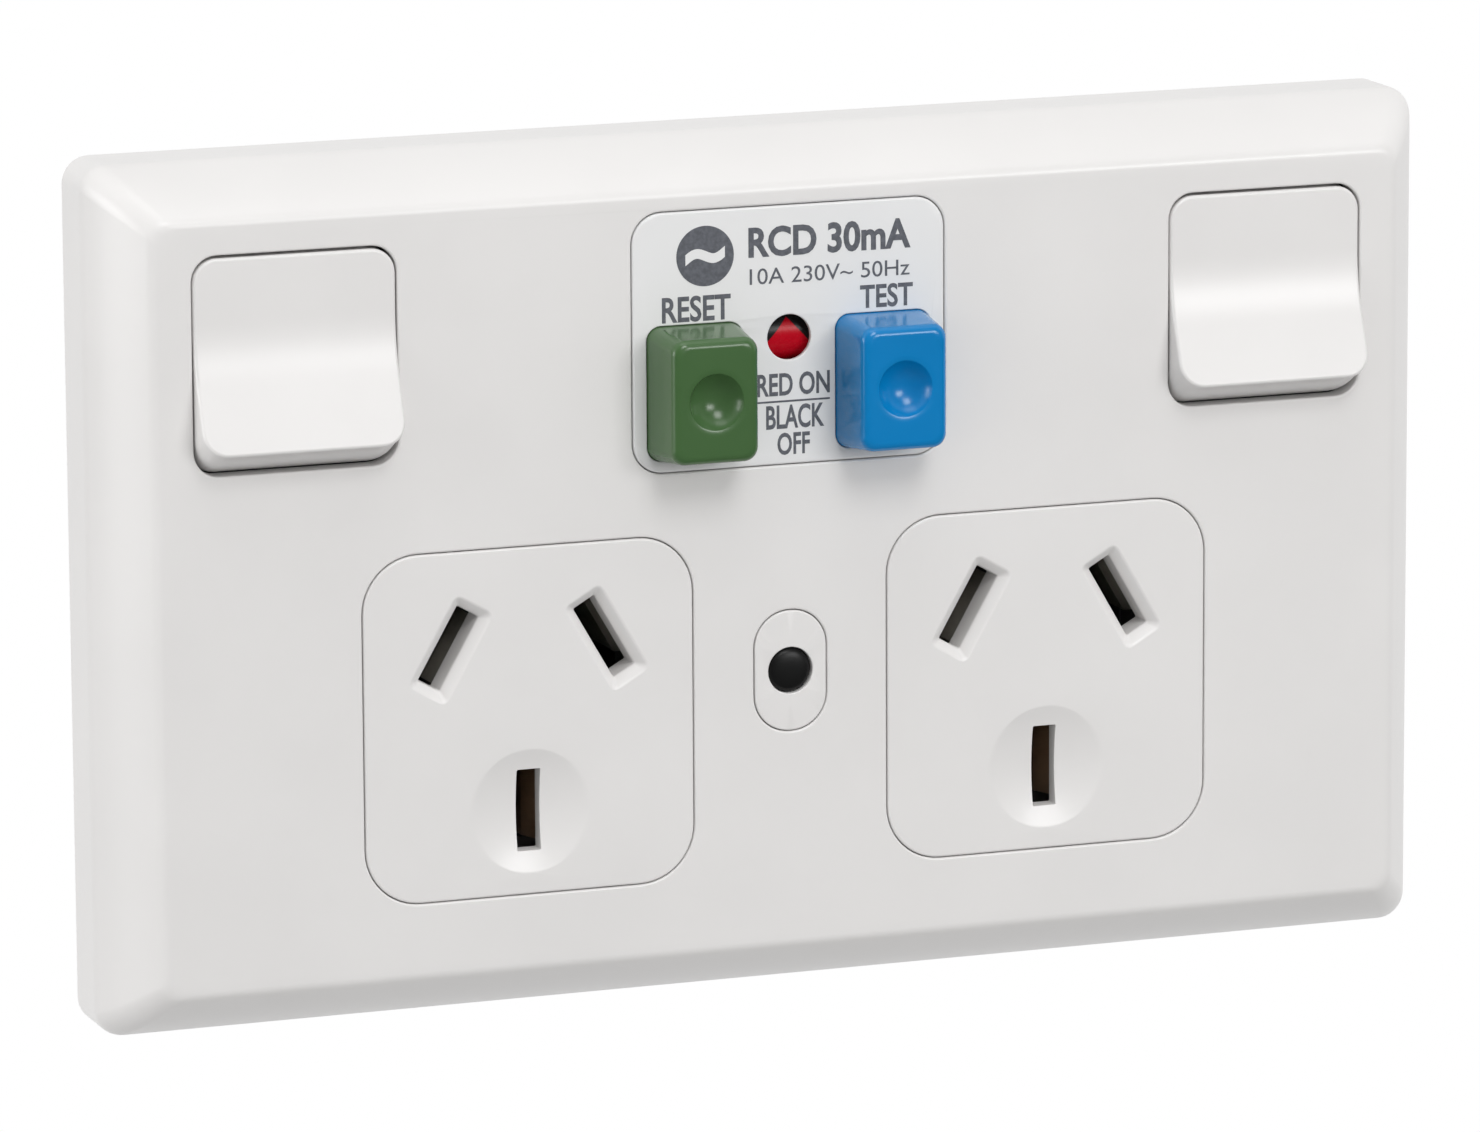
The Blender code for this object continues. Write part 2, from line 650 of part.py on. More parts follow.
def build_rocker(side, label):
    """Hollow rocker on a pin, with its plunger and spring, tilted to its rest end."""
    location = (side * ROCKER_X, ROCKER_PIVOT_Y, ROCKER_Z)
    axis = pivot_empty(f"{label}_rocker_axis", location, -ROCKER_TRAVEL / 2)
    half = ROCKER_WIDTH / 2 - CLEARANCE
    corner = ROCKER_CORNER - CLEARANCE
    stations = []
    for step in range(ROUND_STEPS + 1):
        angle = step / ROUND_STEPS * pi / 2
        across = half - corner * (1 - sin(angle))
        drop = EDGE_BREAK if step == ROUND_STEPS else 0.0
        stations.append((across, corner * (1 - cos(angle)), drop))
    right = []
    for across, pull, drop in stations:
        right.append((across, rocker_profile(pull, drop, 0.0, ROCKER_SKIRT)))
    left = [(-across, outline) for across, outline in reversed(right)]
    rocker = solid(f"{label}_rocker", loft(left + right, AXIS_X), WHITE_PLASTIC)
    hollow = rocker_profile(0.0, 0.0, ROCKER_WALL, 1.5 * ROCKER_SKIRT)
    inner = half - ROCKER_WALL
    cut(rocker, prism(hollow, -inner, inner, AXIS_X))
    hub_top = -(ROCKER_PIVOT_DEPTH - ROCKER_WALL / 2)
    hub = rounded(HUB_TAIL - hub_top, HUB_HEIGHT, EDGE_BREAK * 4, ((HUB_TAIL + hub_top) / 2, 0.0))
    join(rocker, prism(hub, -HUB_WIDTH / 2, HUB_WIDTH / 2, AXIS_X))
    bore_end = PIN_RADIUS + 3 * CLEARANCE
    cut(
        rocker,
        prism(circle(PIN_RADIUS + CLEARANCE), -HUB_WIDTH, HUB_WIDTH, AXIS_X),
        turned([(bore_end + CLEARANCE, PLUNGER_RADIUS + CLEARANCE),
                (HUB_TAIL + CLEARANCE, PLUNGER_RADIUS + CLEARANCE)], (0.0, 0.0)),
    )
    hang(rocker, axis)
    head = PLUNGER_REACH - PLUNGER_LENGTH
    profile = [(head, PLUNGER_RADIUS)]
    for step in range(ROUND_STEPS + 1):
        angle = step / ROUND_STEPS * PLUNGER_ROUND
        profile.append((PLUNGER_REACH - PLUNGER_RADIUS * (1 - sin(angle)), PLUNGER_RADIUS * cos(angle)))
    hang(solid(f"{label}_plunger", turned(profile, (0.0, 0.0)), BRASS), axis)
    spring_radius = PLUNGER_RADIUS - PLUNGER_SPRING_WIRE / 2
    hang(helix(f"{label}_plunger_spring", (0.0, 0.0), bore_end + 2 * CLEARANCE, head - CLEARANCE,
               spring_radius, PLUNGER_SPRING_WIRE, PLUNGER_SPRING_TURNS, ZINC_STEEL), axis)


def build_rocker_pin(side, label):
    """Steel pin through the frame's ears and the rocker's hub."""
    reach = HUB_WIDTH / 2 + CLEARANCE + EAR_THICKNESS
    middle = side * ROCKER_X
    shape = prism(circle(PIN_RADIUS, (ROCKER_PIVOT_Y, ROCKER_Z)), middle - reach, middle + reach, AXIS_X)
    solid(f"{label}_rocker_pin", shape, ZINC_STEEL)


def build_switch(side, label):
    """See-saw switch blade at its open end, and the post that it tips on."""
    middle = side * ROCKER_X
    axis = pivot_empty(f"{label}_blade_axis", (middle, BLADE_PIVOT_Y, ROCKER_Z), BLADE_TRAVEL / 2)
    blade = solid(
        f"{label}_switch_blade",
        block(*spread(BLADE_WIDTH), *spread(BLADE_THICKNESS), *spread(BLADE_LENGTH)),
        BRASS,
    )
    back = BLADE_THICKNESS / 2
    join(blade, turned([(0.0, RIVET_RADIUS), (back + RIVET_HEIGHT, RIVET_RADIUS)], (0.0, BLADE_CONTACT)))
    hang(blade, axis)
    post_front = BLADE_PIVOT_Y + BLADE_THICKNESS / 2 + CLEARANCE
    wing_floor = WING_DEPTH - HOUSING_WALL - CLEARANCE
    edge = STRIP_THICKNESS
    knife = [
        (post_front, ROCKER_Z - edge / 4),
        (post_front, ROCKER_Z + edge / 4),
        (post_front + edge, ROCKER_Z + edge),
        (wing_floor - edge, ROCKER_Z + edge),
        (wing_floor - edge, ROCKER_Z + STRIP_WIDTH),
        (wing_floor, ROCKER_Z + STRIP_WIDTH),
        (wing_floor, ROCKER_Z - STRIP_WIDTH),
        (wing_floor - edge, ROCKER_Z - STRIP_WIDTH),
        (wing_floor - edge, ROCKER_Z - edge),
        (post_front + edge, ROCKER_Z - edge),
    ]
    solid(f"{label}_switch_post", prism(knife, *about(middle, BLADE_WIDTH), AXIS_X), BRASS)


def about(middle, size):
    """Lower and upper end of a size about a middle."""
    return (middle - size / 2, middle + size / 2)


def clip(centre, angle):
    """Spring clip that grips one flat pin: two leaves with a flared mouth on a base."""
    outer = CLIP_GRIP + CLIP_LEAF
    mouth = FRONT + PLATE_WALL + CLIP_SETBACK
    throat = mouth + CLIP_MOUTH
    half = [
        (outer, STRIP_BACK),
        (outer, throat),
        (outer + CLIP_FLARE, mouth),
        (CLIP_GRIP + CLIP_FLARE, mouth),
        (CLIP_GRIP, throat),
        (CLIP_GRIP, STRIP_FRONT),
    ]
    outline = half + [(-across, depth) for across, depth in reversed(half)]
    shape = prism(outline, *spread(CLIP_WIDTH), AXIS_Z)
    turn_about(shape, angle, "Y", (0.0, 0.0, 0.0))
    bmesh.ops.translate(shape, vec=(centre[0], 0.0, centre[1]), verts=shape.verts)
    return shape


def strip(low_x, high_x, low_z, high_z):
    """Flat brass strip lying on the contact carrier."""
    return block(low_x, high_x, STRIP_FRONT, STRIP_BACK, low_z, high_z)


def ribbon(path, width):
    """Outline of a strip of one width along a path of square turns."""
    steps = [(Vector(after) - Vector(before)).normalized() for before, after in zip(path, path[1:])]
    sides = [Vector((-step.y, step.x)) for step in steps]
    offsets = [sides[0]]
    for before, after in zip(sides, sides[1:]):
        offsets.append(before + after)
    offsets.append(sides[-1])
    left = [tuple(Vector(point) + offset * width / 2) for point, offset in zip(path, offsets)]
    right = [tuple(Vector(point) - offset * width / 2) for point, offset in zip(path, offsets)]
    return left + right[::-1]


def build_active_contact(side, label):
    """Live clip of one socket, with its strip up to that socket's switch."""
    middle = side * SOCKET_PITCH / 2 - LIVE_REACH
    riser = side * (SOCKET_PITCH / 2 + LIVE_REACH)
    contact_z = ROCKER_Z + BLADE_CONTACT
    path = [(middle, LIVE_Z), (riser, contact_z), (side * (ROCKER_X + STRIP_WIDTH / 2), contact_z)]
    if side > 0:
        path[1:1] = [(middle, ACTIVE_STRIP_Z), (riser, ACTIVE_STRIP_Z)]
    piece = solid(f"{label}_active_contact", clip((middle, LIVE_Z), PIN_SPREAD), BRASS)
    join(piece, prism(ribbon(path, STRIP_WIDTH), STRIP_FRONT, STRIP_BACK))
    swing = BLADE_CONTACT * sin(BLADE_TRAVEL / 2)
    tip = (BLADE_THICKNESS / 2 + RIVET_HEIGHT) * cos(BLADE_TRAVEL / 2)
    overhang = RIVET_RADIUS * sin(BLADE_TRAVEL / 2)
    face = BLADE_PIVOT_Y + swing + tip + overhang + CLEARANCE
    join(piece, turned([(face, RIVET_RADIUS), (STRIP_BACK - STRIP_THICKNESS / 2, RIVET_RADIUS)],
                       (side * ROCKER_X, contact_z)))


def build_neutral_bar():
    """Strip that joins the neutral clips of both sockets."""
    places = [side * SOCKET_PITCH / 2 + LIVE_REACH for side in (-1, 1)]
    piece = solid("neutral_bar", strip(places[0] - STRIP_WIDTH / 2, places[1] + STRIP_WIDTH / 2,
                                       *about(NEUTRAL_STRIP_Z, STRIP_WIDTH)), BRASS)
    for middle in places:
        join(piece, strip(*about(middle, STRIP_WIDTH), NEUTRAL_STRIP_Z, LIVE_Z))
        join(piece, clip((middle, LIVE_Z), -PIN_SPREAD))


def build_earth_bar():
    """Strip that joins the earth clips of both sockets."""
    places = [side * SOCKET_PITCH / 2 for side in (-1, 1)]
    piece = solid("earth_bar", strip(places[0] - STRIP_WIDTH / 2, places[1] + STRIP_WIDTH / 2,
                                     *about(EARTH_Z, STRIP_WIDTH)), BRASS)
    join(piece, *[clip((middle, EARTH_Z), 0.0) for middle in places])


def build_panel():
    """Trip-module panel with its two button holes and the flag window."""
    panel = insert_cup("rcd_panel", PANEL_WIDTH, PANEL_HEIGHT, PANEL_CORNER, (0.0, PANEL_Z),
                       PANEL_WALL, PANEL_SKIRT, COOL_WHITE_PLASTIC)
    width, height = button_base()
    through = (FRONT - PANEL_WALL, FRONT + 2 * PANEL_WALL)
    holes = []
    for side in (-1, 1):
        outline = rounded(width + 2 * CLEARANCE, height + 2 * CLEARANCE, BUTTON_CORNER + CLEARANCE,
                          (side * BUTTON_X, BUTTON_Z))
        holes.append(prism(outline, *through))
    holes.append(prism(circle(WINDOW_RADIUS, (0.0, WINDOW_Z), FINE_SIDES), *through))
    cut(panel, *holes)
    inside = FLAG_AXIS_Y - (FRONT + PANEL_WALL)
    chord = sqrt(max(FLAG_RADIUS ** 2 - inside ** 2, 0.0)) + 2 * CLEARANCE
    pocket = block(*spread(FLAG_LENGTH + 2 * CLEARANCE), FRONT + WINDOW_WALL,
                   FRONT + 2 * PANEL_WALL, *about(WINDOW_Z, 2 * chord))
    cut(panel, pocket)


def button_base():
    """Width and height of a button where it passes the panel."""
    return (BUTTON_WIDTH + 2 * BUTTON_DRAFT, BUTTON_HEIGHT + 2 * BUTTON_DRAFT)


def build_button(side, name, finish):
    """Push button with a dimple, a collar behind the panel and a guided stem."""
    centre = (side * BUTTON_X, BUTTON_Z)
    width, height = button_base()
    crown = FRONT - BUTTON_PROUD
    collar = FRONT + PANEL_WALL + CLEARANCE
    collar_back = collar + COLLAR_THICKNESS
    stem = rounded(STEM_WIDTH, STEM_WIDTH, BUTTON_CORNER / 2, centre)
    base = rounded(width, height, BUTTON_CORNER, centre)
    collar_low = BUTTON_Z - height / 2 - BORE_FIT / 2
    collar_high = BUTTON_Z + height / 2 + COLLAR_REACH
    wide = rounded(width + 2 * EDGE_BREAK, collar_high - collar_low, BUTTON_CORNER,
                   (centre[0], (collar_low + collar_high) / 2))
    face = rounded(BUTTON_WIDTH, BUTTON_HEIGHT, BUTTON_CORNER, centre)
    top = rounded(BUTTON_WIDTH - 2 * BUTTON_EDGE, BUTTON_HEIGHT - 2 * BUTTON_EDGE,
                  BUTTON_CORNER / 2, centre)
    edge = BUTTON_EDGE * EDGE_SHARE
    shoulder = rounded(BUTTON_WIDTH - 2 * edge, BUTTON_HEIGHT - 2 * edge, BUTTON_CORNER, centre)
    shape = loft([
        (crown, top), (crown + edge, shoulder), (crown + BUTTON_EDGE, face),
        (FRONT, base), (collar, base), (collar, wide), (collar_back, wide),
        (collar_back, stem), (STEM_END, stem),
    ])
    button = solid(f"{name}_button", shape, finish)
    cut(button, dish_cutter(centre, DIMPLE_RADIUS, DIMPLE_DEPTH, crown, 16))
    ride(button, pivot_empty(f"{name}_button_axis", (centre[0], FRONT, centre[1])))
    helix(f"{name}_spring", centre, collar_back + CLEARANCE, SEAT, BUTTON_SPRING_RADIUS,
          BUTTON_SPRING_WIRE, BUTTON_SPRING_TURNS, ZINC_STEEL)


def build_flag():
    """Indicator drum behind the window, on its own short shaft."""
    half = FLAG_LENGTH / 2
    shaft = half + CLEARANCE + FLAG_EAR_THICKNESS
    profile = [
        (-shaft, FLAG_SHAFT_RADIUS), (-half, FLAG_SHAFT_RADIUS), (-half, FLAG_RADIUS),
        (half, FLAG_RADIUS), (half, FLAG_SHAFT_RADIUS), (shaft, FLAG_SHAFT_RADIUS),
    ]
    flag = solid("indicator_flag", turned(profile, (0.0, 0.0), AXIS_X, FINE_SIDES), RED_PLASTIC)
    hang(flag, pivot_empty("indicator_flag_axis", (0.0, FLAG_AXIS_Y, WINDOW_Z)))


def build_cap():
    """Obround cap, its black plug and the cover screw beneath."""
    def ring(inset):
        return rounded(CAP_WIDTH - 2 * inset, CAP_HEIGHT - 2 * inset,
                       CAP_WIDTH / 2 - inset - BORE_FIT, (0.0, CAP_Z), 6)

    back = FRONT + CAP_DEPTH
    sections = [
        (FRONT, ring(CLEARANCE + EDGE_BREAK)), (FRONT + EDGE_BREAK, ring(CLEARANCE)),
        (back, ring(CLEARANCE)), (back, ring(CLEARANCE + CAP_WALL)),
        (FRONT + CAP_WALL, ring(CLEARANCE + CAP_WALL)),
    ]
    cap = solid("screw_cap", loft(sections), WHITE_PLASTIC)
    centre = (0.0, CAP_Z)
    hole = PLUG_RADIUS + CLEARANCE / 2
    cut(cap, prism(circle(hole, centre, FINE_SIDES), FRONT - CAP_WALL, FRONT + 2 * CAP_WALL))
    profile = [
        (FRONT, PLUG_RADIUS * PLUG_CROWN), (FRONT + EDGE_BREAK, PLUG_RADIUS),
        (FRONT + PLUG_LENGTH, PLUG_RADIUS),
    ]
    solid("screw_plug", turned(profile, centre, AXIS_Y, FINE_SIDES), BLACK_PLASTIC)
    build_screw("cover_screw", centre, SEAT - FLANGE_THICKNESS - CLEARANCE, COVER_SCREW_REACH)


def build_screw(name, centre, under_head, tip):
    """Pan-head screw along Y, head at one end and a blunt point at the other."""
    into = 1 if tip > under_head else -1
    profile = [
        (under_head - into * SCREW_HEAD_HEIGHT, SCREW_HEAD_RADIUS * SCREW_CROWN),
        (under_head - into * SCREW_HEAD_HEIGHT * SCREW_RIM, SCREW_HEAD_RADIUS),
        (under_head, SCREW_HEAD_RADIUS),
        (under_head, SCREW_RADIUS),
        (tip - into * SCREW_RADIUS, SCREW_RADIUS),
        (tip, SCREW_RADIUS * SCREW_POINT),
    ]
    solid(name, turned(profile, centre), ZINC_STEEL)


def post_places():
    """Centres of the four posts that join the housing to the frame."""
    lower = [(side * LOWER_POST_X, LOWER_POST_Z) for side in (-1, 1)]
    upper = [(side * UPPER_POST_X, UPPER_POST_Z) for side in (-1, 1)]
    return lower + upper


def build_frame():
    """Mounting frame: plate with windows, screw slots, guide holes and bearing ears."""
    width = PLATE_WIDTH - 2 * PLATE_WALL - 2 * CLEARANCE
    height = PLATE_HEIGHT - 2 * PLATE_WALL - 2 * CLEARANCE
    full = rounded(width, height, FACE_CORNER)
    stepped = rounded(width - 2 * FRAME_REBATE, height - 2 * FRAME_REBATE, FACE_CORNER)
    sections = [(FRAME_FRONT, full), (-FRAME_LEDGE, full), (-FRAME_LEDGE, stepped), (0.0, stepped)]
    frame = solid("mounting_frame", loft(sections), GREY_PLASTIC)
    ears = []
    bores = []
    root = FRAME_FRONT + FRAME_THICKNESS / 2
    for side in (-1, 1):
        middle = side * ROCKER_X
        for hand in (-1, 1):
            near = HUB_WIDTH / 2 + CLEARANCE
            ends = sorted((middle + hand * near, middle + hand * (near + EAR_THICKNESS)))
            ears.append(prism(ear(ROCKER_PIVOT_Y, ROCKER_Z, EAR_RADIUS, root), *ends, AXIS_X))
            bores.append(prism(circle(PIN_RADIUS + BORE_FIT, (ROCKER_PIVOT_Y, ROCKER_Z)),
                               ends[0] - BORE_FIT, ends[1] + BORE_FIT, AXIS_X))
        near = FLAG_LENGTH / 2 + CLEARANCE
        ends = sorted((side * near, side * (near + FLAG_EAR_THICKNESS)))
        flag_ear = FLAG_SHAFT_RADIUS + CLEARANCE * 3
        ears.append(prism(ear(FLAG_AXIS_Y, WINDOW_Z, flag_ear, root), *ends, AXIS_X))
        bores.append(prism(circle(FLAG_SHAFT_RADIUS + BORE_FIT, (FLAG_AXIS_Y, WINDOW_Z)),
                           ends[0] - BORE_FIT, ends[1] + BORE_FIT, AXIS_X))
    join(frame, *ears)
    cut(frame, *bores)
    through = (FRAME_FRONT - FRAME_THICKNESS, FRAME_THICKNESS)
    holes = [prism(circle(SCREW_RADIUS + BORE_FIT, (0.0, CAP_Z)), *through)]
    for centre in post_places():
        holes.append(prism(circle(SCREW_RADIUS + BORE_FIT, centre), *through))
    guide = STEM_WIDTH + 2 * CLEARANCE
    for side in (-1, 1):
        holes.append(prism(rounded(guide, guide, BUTTON_CORNER / 2, (side * BUTTON_X, BUTTON_Z)),
                           *through))
        holes.append(prism(rounded(SOCKET_WIDTH - 2 * SOCKET_LEDGE, SOCKET_HEIGHT - 2 * SOCKET_LEDGE,
                                   FACE_CORNER, (side * SOCKET_PITCH / 2, SOCKET_Z)), *through))
        swing = 2 * HUB_TAIL * sin(ROCKER_TRAVEL / 2)
        holes.append(prism(rounded(HUB_WIDTH, HUB_HEIGHT + swing + 4 * CLEARANCE, EDGE_BREAK * 4,
                                   (side * ROCKER_X, ROCKER_Z)), *through))
        holes.append(prism(rounded(MOUNT_SLOT_LENGTH, MOUNT_SLOT_WIDTH, MOUNT_SLOT_WIDTH / 2 - BORE_FIT,
                                   (side * MOUNT_CENTRES / 2, 0.0)), *through))
    cut(frame, *holes)


def ear(axis_y, axis_z, radius, root):
    """Bearing ear outline: round over the axis, straight down to its root."""
    arc = [pi / 2 + pi * step / EAR_STEPS for step in range(EAR_STEPS + 1)]
    top = [(axis_y + radius * cos(angle), axis_z + radius * sin(angle)) for angle in arc]
    return top + [(root, axis_z - radius), (root, axis_z + radius)]


def build_housing():
    """Rear housing: a deep cup with side wings for the switches, screw posts and wire holes."""
    middle_z = (HOUSING_TOP + HOUSING_BOTTOM) / 2
    height = HOUSING_TOP - HOUSING_BOTTOM
    wing_z = (HOUSING_TOP + WING_BOTTOM) / 2
    wing_height = HOUSING_TOP - WING_BOTTOM
    outline = rounded(HOUSING_WIDTH, height, HOUSING_CORNER, (0.0, middle_z))
    housing = solid("rear_housing", prism(outline, CLEARANCE, HOUSING_DEPTH), GREY_PLASTIC)
    join(housing, prism(rounded(WING_SPAN, wing_height, HOUSING_CORNER, (0.0, wing_z)),
                        CLEARANCE, WING_DEPTH))
    inner_corner = HOUSING_CORNER - HOUSING_WALL
    thin = 2 * HOUSING_WALL
    cut(housing, prism(rounded(HOUSING_WIDTH - thin, height - thin, inner_corner, (0.0, middle_z)),
                       -HOUSING_WALL, HOUSING_FLOOR))
    cut(housing, prism(rounded(WING_SPAN - thin, wing_height - thin, inner_corner, (0.0, wing_z)),
                       -HOUSING_WALL, WING_DEPTH - HOUSING_WALL))
    floor = HOUSING_FLOOR + HOUSING_WALL / 2
    posts = [turned([(CLEARANCE, POST_RADIUS), (floor, POST_RADIUS)], centre) for centre in post_places()]
    join(housing, *posts)
    ledge_back = CARRIER_BACK + CLEARANCE
    ledges = []
    for side in (-1, 1):
        ends = sorted((side * (INNER_HALF_WIDTH - LEDGE_WIDTH), side * (INNER_HALF_WIDTH + LEDGE_WIDTH / 2)))
        ledges.append(block(*ends, ledge_back, ledge_back + HOUSING_WALL, EARTH_Z, 0.0))
    join(housing, *ledges)
    through = (-HOUSING_WALL, HOUSING_DEPTH + HOUSING_WALL)
    holes = [prism(circle(SCREW_RADIUS + BORE_FIT, centre), *through) for centre in post_places()]
    floor_through = (HOUSING_FLOOR - HOUSING_WALL, HOUSING_DEPTH + HOUSING_WALL)
    wall_through = (HOUSING_BOTTOM - HOUSING_WALL, INNER_BOTTOM + HOUSING_WALL)
    for place_x in terminal_places():
        holes.append(prism(circle(WIRE_HOLE_RADIUS + CLEARANCE, (place_x, TERMINAL_Z)), *floor_through))
        holes.append(prism(circle(SCREW_HEAD_RADIUS, (place_x, clamp_level())), *wall_through, AXIS_Z))
    cut(housing, *holes)


def terminal_places():
    """Across positions of the active, earth and neutral terminals."""
    return [-TERMINAL_PITCH, 0.0, TERMINAL_PITCH]


def clamp_level():
    """Depth at which the clamp screws meet the wires."""
    return HOUSING_FLOOR - CLEARANCE - WIRE_HOLE_DEPTH / 2


def build_carrier():
    """Insulating plate that carries the pin clips and strips."""
    half = INNER_HALF_WIDTH - CLEARANCE
    bottom = INNER_BOTTOM + CLEARANCE
    shape = block(-half, half, CARRIER_FRONT, CARRIER_BACK, bottom, CARRIER_TOP)
    carrier = solid("contact_carrier", shape, GREY_PLASTIC)
    notch = POST_RADIUS + CLEARANCE
    holes = []
    for side in (-1, 1):
        ends = sorted((side * (LOWER_POST_X - notch), side * INNER_HALF_WIDTH))
        holes.append(block(*ends, CARRIER_FRONT - CARRIER_THICKNESS, CARRIER_BACK + CARRIER_THICKNESS,
                           INNER_BOTTOM, LOWER_POST_Z + notch))
    cut(carrier, *holes)


def build_terminals():
    """Tunnel terminals with their clamp screws."""
    back = HOUSING_FLOOR - CLEARANCE
    low = TERMINAL_Z - TERMINAL_SIZE / 2
    for label, place_x in zip(("active", "earth", "neutral"), terminal_places()):
        shape = block(*about(place_x, TERMINAL_SIZE), back - TERMINAL_LENGTH, back,
                      *about(TERMINAL_Z, TERMINAL_SIZE))
        terminal = solid(f"{label}_terminal", shape, BRASS)
        cut(terminal, prism(circle(WIRE_HOLE_RADIUS, (place_x, TERMINAL_Z)), back - WIRE_HOLE_DEPTH,
                            back + WIRE_HOLE_DEPTH))
        level = clamp_level()
        centre = (place_x, level)
        cut(terminal, prism(circle(CLAMP_SCREW_RADIUS + BORE_FIT, centre), low - TERMINAL_SIZE,
                            TERMINAL_Z, AXIS_Z))
        head = low - CLEARANCE
        tip = TERMINAL_Z - WIRE_HOLE_RADIUS
        profile = [
            (head - SCREW_HEAD_HEIGHT, SCREW_HEAD_RADIUS - CLEARANCE), (head, SCREW_HEAD_RADIUS - CLEARANCE),
            (head, CLAMP_SCREW_RADIUS), (tip, CLAMP_SCREW_RADIUS),
        ]
        solid(f"{label}_clamp_screw", turned(profile, centre, AXIS_Z), ZINC_STEEL)


def build_carriage():
    """Contact carriage with its moving contacts, guide, spring and fixed contacts."""
    axis = pivot_empty("contact_carriage_axis", (-BUTTON_X, CARRIAGE_FRONT, BUTTON_Z))
    left, right = about(-BUTTON_X, CARRIAGE_WIDTH)
    outline = [
        (left, CARRIAGE_FRONT), (right, CARRIAGE_FRONT), (right, TRIP_LEVEL - GROOVE_DEPTH),
        (right - GROOVE_DEPTH, TRIP_LEVEL), (right, TRIP_LEVEL + GROOVE_DEPTH),
        (right, CARRIAGE_BACK), (left, CARRIAGE_BACK),
    ]
    carriage = solid("contact_carriage", prism(outline, *about(BUTTON_Z, CARRIAGE_HEIGHT), AXIS_Z),
                     BLACK_PLASTIC)
    ride(carriage, axis)
    inner = CARRIAGE_HEIGHT / 2 + CLEARANCE
    outer = inner + GUIDE_WALL
    lip = CARRIAGE_FRONT - TRIP_TRAVEL
    channel = [
        (lip, BUTTON_Z + inner), (GUIDE_BASE, BUTTON_Z + inner), (GUIDE_BASE, BUTTON_Z - inner),
        (lip, BUTTON_Z - inner), (lip, BUTTON_Z - outer), (ON_BOARD, BUTTON_Z - outer),
        (ON_BOARD, BUTTON_Z + outer), (lip, BUTTON_Z + outer),
    ]
    solid("carriage_guide", prism(channel, left, right, AXIS_X), BLACK_PLASTIC)
    strip_front = CARRIAGE_BACK + CLEARANCE
    strip_back = strip_front + STRIP_THICKNESS
    rivet_back = strip_back + RIVET_HEIGHT
    rivet_x = left + RIVET_RADIUS
    rivet = TRIP_CONTACT / 2 - CLEARANCE / 2
    for label, hand in (("active", -1), ("neutral", 1)):
        level = BUTTON_Z + hand * CONTACT_SPREAD / 2
        moving = solid(f"{label}_moving_contact",
                       block(left, right, strip_front, strip_back, *about(level, TRIP_CONTACT)), BRASS)
        join(moving, turned([(strip_front + STRIP_THICKNESS / 2, rivet), (rivet_back, rivet)],
                            (rivet_x, level)))
        ride(moving, axis)
        fixed_front = rivet_back + CLEARANCE
        solid(f"{label}_fixed_contact",
              turned([(fixed_front, TRIP_CONTACT / 2), (fixed_front + RIVET_HEIGHT, TRIP_CONTACT / 2),
                      (fixed_front + RIVET_HEIGHT, TRIP_CONTACT / 3),
                      (GUIDE_BASE - CLEARANCE, TRIP_CONTACT / 3)], (rivet_x, level)), BRASS)
    helix("carriage_spring", (-BUTTON_X + CARRIAGE_SPRING_RADIUS, BUTTON_Z), CARRIAGE_BACK + CLEARANCE,
          GUIDE_BASE - CLEARANCE, CARRIAGE_SPRING_RADIUS, CARRIAGE_SPRING_WIRE, CARRIAGE_SPRING_TURNS,
          ZINC_STEEL)


def build_trip_lever():
    """Trip lever that latches the carriage, on a shouldered pin from the board."""
    axis = pivot_empty("trip_lever_axis", (LEVER_X, TRIP_LEVEL, LEVER_Z))
    low_y, high_y = about(TRIP_LEVEL, LEVER_WIDTH)
    hub = turned([(low_y, LEVER_HUB_RADIUS), (high_y, LEVER_HUB_RADIUS)], (LEVER_X, LEVER_Z))
    lever = solid("trip_lever", hub, GREY_PLASTIC)
    join(lever, block(*about(LEVER_X, LEVER_WIDTH), low_y, high_y, LEVER_Z,
                      TRIP_AXIS_Z + LEVER_WIDTH))
    nose_z = LEVER_Z - LEVER_NOSE_ARM
    near = CARRIAGE_SIDE + CLEARANCE
    join(lever, block(*about(LEVER_X, LEVER_WIDTH), low_y, high_y, nose_z - LEVER_WIDTH / 2, LEVER_Z))
    tip = near - GROOVE_DEPTH + CLEARANCE / 2
    half = LEVER_WIDTH / 2
    wedge = [(tip, TRIP_LEVEL), (tip + half, TRIP_LEVEL - half), (LEVER_X, TRIP_LEVEL - half),
             (LEVER_X, TRIP_LEVEL + half), (tip + half, TRIP_LEVEL + half)]
    join(lever, prism(wedge, *about(nose_z, LEVER_WIDTH), AXIS_Z))
    cut(lever, turned([(low_y - CLEARANCE, LEVER_PIN_RADIUS + CLEARANCE),
                       (high_y + CLEARANCE, LEVER_PIN_RADIUS + CLEARANCE)], (LEVER_X, LEVER_Z)))
    ride(lever, axis)
    shoulder = high_y + CLEARANCE
    profile = [
        (low_y - CLEARANCE, LEVER_PIN_RADIUS), (shoulder, LEVER_PIN_RADIUS),
        (shoulder, LEVER_HUB_RADIUS - CLEARANCE), (ON_BOARD, LEVER_HUB_RADIUS - CLEARANCE),
    ]
    solid("trip_lever_pin", turned(profile, (LEVER_X, LEVER_Z)), ZINC_STEEL)


